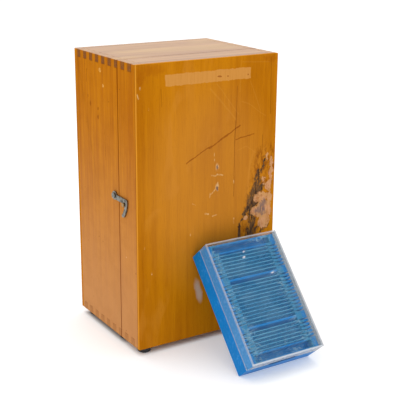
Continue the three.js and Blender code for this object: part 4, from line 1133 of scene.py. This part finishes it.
class MICROSCOPE_OT_slide_box(bpy.types.Operator):
    """Finishes the tray and the lid"""

    bl_idname = "microscope.slide_box"
    bl_label = "Slide Box"

    def execute(self, context):
        settings = context.scene.microscope_slide_box
        finish_node("slide_tray", blue_plastic(settings), 0.00025, smooth=False)
        finish_node("slide_lid", clear_plastic(settings), 0.0006, 3, smooth=False)
        return {"FINISHED"}


class MICROSCOPE_OT_slides(bpy.types.Operator):
    """Makes the glass slides and stands them in the tray's comb"""

    bl_idname = "microscope.slides"
    bl_label = "Glass Slides"

    def execute(self, context):
        settings = context.scene.microscope_slide_box
        half = Vector((settings.slide_length / 2, settings.slide_thickness / 2, settings.slide_width))
        bottom = settings.slide_floor
        model = box_piece("slide_model", (-half.x, -half.y, bottom), (half.x, half.y, bottom + half.z))
        soften(model, 0.00012, 1)
        glass = slide_glass(settings)
        groups = (7, 12, 6)
        space = settings.partition + settings.slot_pitch
        run = sum(groups) * settings.slot_pitch + (len(groups) - 1) * space
        start = settings.length - (settings.length - run) / 2
        number = 0
        for count in groups:
            for index in range(count):
                number += 1
                y = start - (index + 0.5) * settings.slot_pitch
                matrix = box_frame(settings) @ Matrix.Translation((0, y, 0))
                slide = copy_of(model, f"glass_slide_{number:02d}", matrix)
                paint(slide, glass)
                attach(slide, "slide_box")
            start -= count * settings.slot_pitch + space
        bpy.data.objects.remove(model)
        return {"FINISHED"}


# ---------------------------------------------------------------- operators: the microscope


class MICROSCOPE_OT_stand(bpy.types.Operator):
    """Finishes the microscope's enamelled stand and its small fittings"""

    bl_idname = "microscope.stand"
    bl_label = "Microscope Stand"

    def execute(self, context):
        settings = context.scene.microscope_scope
        black = enamel(settings)
        bright = metal("plated", settings.metal, (0.3, 0.3, 0.3), 0.12, 0.25, 0.04)
        brass = metal("lacquered_brass", settings.brass, (0.3, 0.18, 0.07), 0.22, 0.35, 0.1)
        for name in ("scope_foot", "scope_limb", "stage_plate", "diaphragm_disc", "nosepiece_mount"):
            finish_node(name, black, 0.0006)
        fittings = (
            "stage_clip_left",
            "stage_clip_right",
            "diaphragm_screw",
            "mirror_fork",
            "mirror_cell",
            "nosepiece_turret",
            "fine_spindle",
            "coarse_pinion",
        )
        for name in fittings:
            finish_node(name, bright, 0.00015)
        for name in ("focus_carriage", "tube_rack"):
            finish_node(name, brass, 0.0002)
        finish_node("mirror_glass", silvered(), 0.0002)
        return {"FINISHED"}


class MICROSCOPE_OT_knobs(bpy.types.Operator):
    """Turns and knurls the coarse and fine focus knobs"""

    bl_idname = "microscope.knobs"
    bl_label = "Focus Knobs"

    def execute(self, context):
        settings = context.scene.microscope_scope
        bright = metal("knob_plating", settings.metal, (0.35, 0.34, 0.32), 0.16, 0.3, 0.05)
        for kind in ("coarse", "fine"):
            for side, sign in (("left", -1), ("right", 1)):
                node = f"{kind}_knob_{side}"
                knob = self.knob(node, settings, sign)
                paint(knob, bright)
                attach(knob, f"{kind}_drive")
                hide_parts(node)
        return {"FINISHED"}

    def knob(self, node, settings, sign):
        """A knob on Z with its outer face up, knurled round its rim, then turned on to X."""
        low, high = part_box(node)
        radius = (high.y - low.y) / 2
        depth = high.x - low.x
        lip = 0.0016
        profile = (
            (0.0032, 0),
            (radius * 0.55, 0),
            (radius * 0.55, lip),
            (radius - 0.0008, lip),
            (radius, lip + 0.0008),
            (radius, depth - 0.0012),
            (radius - 0.0012, depth),
            (radius * 0.72, depth),
            (radius * 0.66, depth - 0.0009),
            (radius * 0.3, depth - 0.0009),
            (0, depth - 0.0004),
        )
        closing = ((0, depth - 0.0022), (0.0032, depth - 0.0022), (0.0032, 0))
        knob = turned(f"turned_{node}", profile + closing, settings.knurls * 2)
        edit(knob)
        rim = radius * 0.98
        step = math.tau / (settings.knurls * 2)

        def groove(face):
            centre = face.calc_center_median()
            if math.hypot(centre.x, centre.y) < rim or abs(face.normal.z) > 0.3:
                return False
            return int(math.floor(math.atan2(centre.y, centre.x) / step)) % 2 == 0

        if not pick_faces(knob, groove):
            raise RuntimeError(f"{node} has no rim to knurl")
        bpy.ops.mesh.inset(thickness=0.00008, depth=-0.00035, use_individual=True)
        bpy.ops.object.mode_set(mode="OBJECT")
        only(knob)
        bpy.ops.object.shade_smooth_by_angle(angle=SHARP)
        outer = middle(node)
        start = low.x if sign > 0 else high.x
        turn = Matrix.Rotation(sign * math.pi / 2, 4, "Y")
        return settle(knob, Matrix.Translation((start, outer.y, outer.z)) @ turn)


class MICROSCOPE_OT_optics(bpy.types.Operator):
    """Turns the body tube, the eyepiece and the objectives"""

    bl_idname = "microscope.optics"
    bl_label = "Tube and Lenses"

    def execute(self, context):
        settings = context.scene.microscope_scope
        self.bright = metal("tube_plating", settings.metal, (0.4, 0.4, 0.4), 0.1, 0.2, 0.03)
        self.black = enamel(settings)
        self.tube(settings)
        self.eyepiece(settings)
        self.objectives(settings)
        return {"FINISHED"}

    def keep(self, piece, material, body, node, slot):
        """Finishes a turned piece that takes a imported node's place."""
        paint(piece, material)
        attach(piece, body)
        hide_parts(node)

    def tube(self, settings):
        low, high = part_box("body_tube")
        radius = (high.x - low.x) / 2
        bore = radius - settings.tube_wall
        profile = (
            (bore, low.z),
            (radius, low.z),
            (radius, high.z - 0.008),
            (radius - 0.0004, high.z - 0.0076),
            (radius - 0.0004, high.z - 0.007),
            (radius, high.z - 0.0066),
            (radius, high.z),
            (bore, high.z),
            (bore, low.z),
        )
        tube = turned("turned_body_tube", profile, 72)
        soften(tube, 0.0002)
        place = middle("body_tube")
        settle(tube, Matrix.Translation((place.x, place.y, 0)))
        self.keep(tube, self.bright, "tube", "body_tube", "chromed")

    def eyepiece(self, settings):
        low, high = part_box("eyepiece")
        tube_low, tube_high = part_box("body_tube")
        radius = (tube_high.x - tube_low.x) / 2
        bore = radius - settings.tube_wall
        base = tube_high.z + 0.0003
        seat = 0.0077
        profile = (
            (bore - 0.0022, low.z),
            (bore - 0.0003, low.z),
            (bore - 0.0003, base),
            (radius + 0.002, base),
            (radius + 0.002, base + 0.004),
            (radius, base + 0.005),
            (radius, base + 0.0085),
            (radius - 0.0004, base + 0.009),
            (radius - 0.0004, base + 0.0105),
            (radius, base + 0.011),
            (radius, base + 0.016),
            (radius + 0.001, base + 0.017),
            (radius + 0.001, base + 0.02),
            (radius - 0.001, high.z),
            (seat, base + 0.02),
            (seat, base + 0.016),
            (seat - 0.0017, base + 0.016),
            (seat - 0.0017, base + 0.002),
            (bore - 0.0022, base),
            (bore - 0.0022, low.z),
        )
        body = turned("turned_eyepiece", profile, 72)
        soften(body, 0.00025)
        place = middle("body_tube")
        settle(body, Matrix.Translation((place.x, place.y, 0)))
        self.keep(body, self.black, "eyepiece", "eyepiece", "black_enamel")

        low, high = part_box("eye_lens")
        reach = (high.x - low.x) / 2
        rim = 0.0013
        crown = high.z - low.z - rim
        dome = [
            (reach * math.cos(turn), low.z + rim + crown * math.sin(turn))
            for turn in (math.pi / 2 * step / 8 for step in range(9))
        ]
        lens = turned("ground_eye_lens", [(0, low.z), (reach, low.z), *dome], 64)
        only(lens)
        bpy.ops.object.shade_smooth_by_angle(angle=math.radians(40))
        settle(lens, Matrix.Translation((place.x, place.y, 0)))
        self.keep(lens, lens_glass(), "eyepiece", "eye_lens", "lens_glass")

    def objectives(self, settings):
        """Each objective hangs from the point where the turret's axis meets the optical axis."""
        axis = middle("body_tube")
        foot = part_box("scope_foot")[0].z
        apex = Vector((axis.x, axis.y, foot + settings.apex_height))
        tilt = settings.turret_tilt
        kinds = (
            ("high", 0.040, 0.0032, (0.02, 0.09, 0.45)),
            ("low", 0.020, 0.0062, (0.5, 0.02, 0.02)),
            ("medium", 0.028, 0.0048, (0.7, 0.45, 0.02)),
        )
        for index, (kind, reach, tip, tone) in enumerate(kinds):
            piece = turned(f"turned_objective_{kind}", self.barrel(settings, reach, tip), 64)
            paint(piece, self.bright, painted_ring(kind, tone), self.black)
            ring = self.ring_top(settings, reach)
            for face in piece.data.polygons:
                x, y, height = face.center
                if ring - settings.ring_width < height < ring and math.hypot(x, y) > 0.006:
                    face.material_index = 1
            soften(piece, 0.00015)
            frame_turn = Matrix.Rotation(-tilt, 4, "X")
            spin = Matrix.Rotation(index * math.tau / 3, 4, "Z")
            lean = Matrix.Rotation(tilt, 4, "X")
            settle(piece, Matrix.Translation(apex) @ frame_turn @ spin @ lean)
            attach(piece, "turret")
            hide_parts(f"objective_{kind}")

    def ring_top(self, settings, reach):
        """The height of the painted ring's upper edge."""
        return -settings.shoulder - reach * 0.42 - 0.0004

    def barrel(self, settings, reach, tip):
        """An objective's profile from its front lens up to its shoulder."""
        top = -settings.shoulder
        end = top - reach
        ring = self.ring_top(settings, reach)
        barrel = settings.barrel_radius
        collar = settings.collar_radius
        cup = 0.0008
        return (
            (0, end + cup),
            (tip * 0.55, end + cup),
            (tip * 0.7, end),
            (tip, end),
            (tip + 0.0016, end + 0.003),
            (tip + 0.0016, end + reach * 0.3),
            (barrel, end + reach * 0.42),
            (barrel, ring - settings.ring_width),
            (barrel, ring),
            (barrel, top - 0.0042),
            (collar, top - 0.004),
            (collar, top),
            (0, top),
        )


def painted_ring(kind, tone):
    """The coloured ring that tells an objective's power."""
    graph = Graph(f"ring_paint_{kind}")
    worn = graph.step(graph.noise(graph.position(), 800, 3), 0.6, 0.7)
    base = graph.mix(worn * 0.5, tone, (0.4, 0.38, 0.35))
    return graph.principled(base_color=base, roughness=0.35 + worn * 0.2)


# ---------------------------------------------------------------- operators: the studio


class MICROSCOPE_OT_studio(bpy.types.Operator):
    """Sets up the floor, the soft lights and the camera"""

    bl_idname = "microscope.studio"
    bl_label = "Studio"

    def execute(self, context):
        settings = context.scene.microscope_studio
        context.scene.view_settings.view_transform = "Standard"
        self.floor(settings)
        self.lights()
        self.camera(context, settings)
        return {"FINISHED"}

    def floor(self, settings):
        deselect()
        bpy.ops.mesh.primitive_plane_add(size=40, location=(0, 0, 0))
        floor = bpy.context.object
        floor.name = "studio_floor"
        graph = Graph("studio_floor")
        place = graph.position()
        cloud = graph.noise(place, 1.5, 2)
        tone = tuple(settings.floor_tone)
        base = graph.mix(cloud * 0.15, tone, tuple(value * 0.985 for value in tone))
        # The lit floor goes dark under the case, where no light reaches.
        x, y = graph.split(place)[:2]
        inset = settings.shade_inset
        across = graph.band(x, CASE_LOW.x + inset, CASE_HIGH.x - inset, 0.006)
        under = across * graph.band(y, CASE_LOW.y + inset, CASE_HIGH.y - inset, 0.006)
        under_carcass = across * graph.band(y, SEAM_Y, CASE_HIGH.y - inset, 0.006)
        glow = graph.mix(under, (1, 1, 1), (0, 0, 0))
        base = graph.mix(under_carcass * 0.8, base, (0.05, 0.045, 0.04))
        fixed = {"Specular IOR Level": 0.1, "Emission Strength": 0.25}
        look = {"roughness": 0.85 + cloud * 0.1, "emission_color": glow}
        paint(floor, graph.principled(fixed, base_color=base, **look))

    def lights(self):
        world = bpy.data.worlds.new("studio_world")
        bpy.context.scene.world = world
        world.use_nodes = True
        sky = world.node_tree.nodes["Background"]
        sky.inputs["Color"].default_value = (1, 1, 1, 1)
        sky.inputs["Strength"].default_value = 0.93
        aim = Vector((0, 0, 0.15))
        for name, place, size, power in (
            ("overhead_softbox", (0.0, 0.4, 1.9), 1.8, 9),
            ("left_softbox", (-1.9, -0.7, 0.9), 1.5, 4),
            ("front_softbox", (0.6, -2.1, 1.1), 1.5, 3),
        ):
            bpy.ops.object.light_add(type="AREA", location=place)
            lamp = bpy.context.object
            lamp.name = name
            lamp.data.shape = "DISK"
            lamp.data.size = size
            lamp.data.energy = power
            lamp.rotation_euler = (aim - Vector(place)).to_track_quat("-Z", "Y").to_euler()

    def camera(self, context, settings):
        forward = Vector(
            (
                math.sin(settings.pan) * math.cos(settings.tilt),
                math.cos(settings.pan) * math.cos(settings.tilt),
                -math.sin(settings.tilt),
            )
        )
        level = Vector((math.cos(settings.pan), -math.sin(settings.pan), 0))
        upright = level.cross(forward)
        right = math.cos(settings.roll) * level + math.sin(settings.roll) * upright
        up = math.cos(settings.roll) * upright - math.sin(settings.roll) * level
        bpy.ops.object.camera_add(location=settings.camera_place)
        camera = bpy.context.object
        camera.name = "studio_camera"
        camera.data.lens = settings.lens
        camera.data.sensor_width = 36
        camera.data.clip_end = 100
        turn = Matrix((right, up, -forward)).transposed().to_4x4()
        camera.matrix_world = Matrix.Translation(settings.camera_place) @ turn
        context.scene.camera = camera


# ---------------------------------------------------------------- the panel and the run

GROUPS = {
    "microscope_case": MICROSCOPE_PG_case,
    "microscope_slide_box": MICROSCOPE_PG_slide_box,
    "microscope_scope": MICROSCOPE_PG_scope,
    "microscope_studio": MICROSCOPE_PG_studio,
}
OPERATORS = (
    MICROSCOPE_OT_studio,
    MICROSCOPE_OT_case_boards,
    MICROSCOPE_OT_case_fittings,
    MICROSCOPE_OT_feet,
    MICROSCOPE_OT_slide_box,
    MICROSCOPE_OT_slides,
    MICROSCOPE_OT_stand,
    MICROSCOPE_OT_knobs,
    MICROSCOPE_OT_optics,
)


class MICROSCOPE_PT_panel(bpy.types.Panel):
    """Lists the settings and the operators"""

    bl_label = "Cased Microscope"
    bl_idname = "MICROSCOPE_PT_panel"
    bl_space_type = "VIEW_3D"
    bl_region_type = "UI"
    bl_category = "Microscope"

    def draw(self, context):
        for name in GROUPS:
            column = self.layout.column(heading=name.replace("microscope_", "").replace("_", " ").title())
            settings = getattr(context.scene, name)
            for key in settings.bl_rna.properties.keys():
                if key not in {"rna_type", "name"}:
                    column.prop(settings, key)
        for operator in OPERATORS:
            self.layout.operator(operator.bl_idname)


def register():
    for made in (*GROUPS.values(), *OPERATORS, MICROSCOPE_PT_panel):
        bpy.utils.register_class(made)
    for name, group in GROUPS.items():
        setattr(bpy.types.Scene, name, PointerProperty(type=group))


def unregister():
    for name in GROUPS:
        delattr(bpy.types.Scene, name)
    for made in reversed((*GROUPS.values(), *OPERATORS, MICROSCOPE_PT_panel)):
        bpy.utils.unregister_class(made)


def main():
    register()
    for operator in OPERATORS:
        group, action = operator.bl_idname.split(".")
        getattr(getattr(bpy.ops, group), action)()


if __name__ == "__main__":
    main()
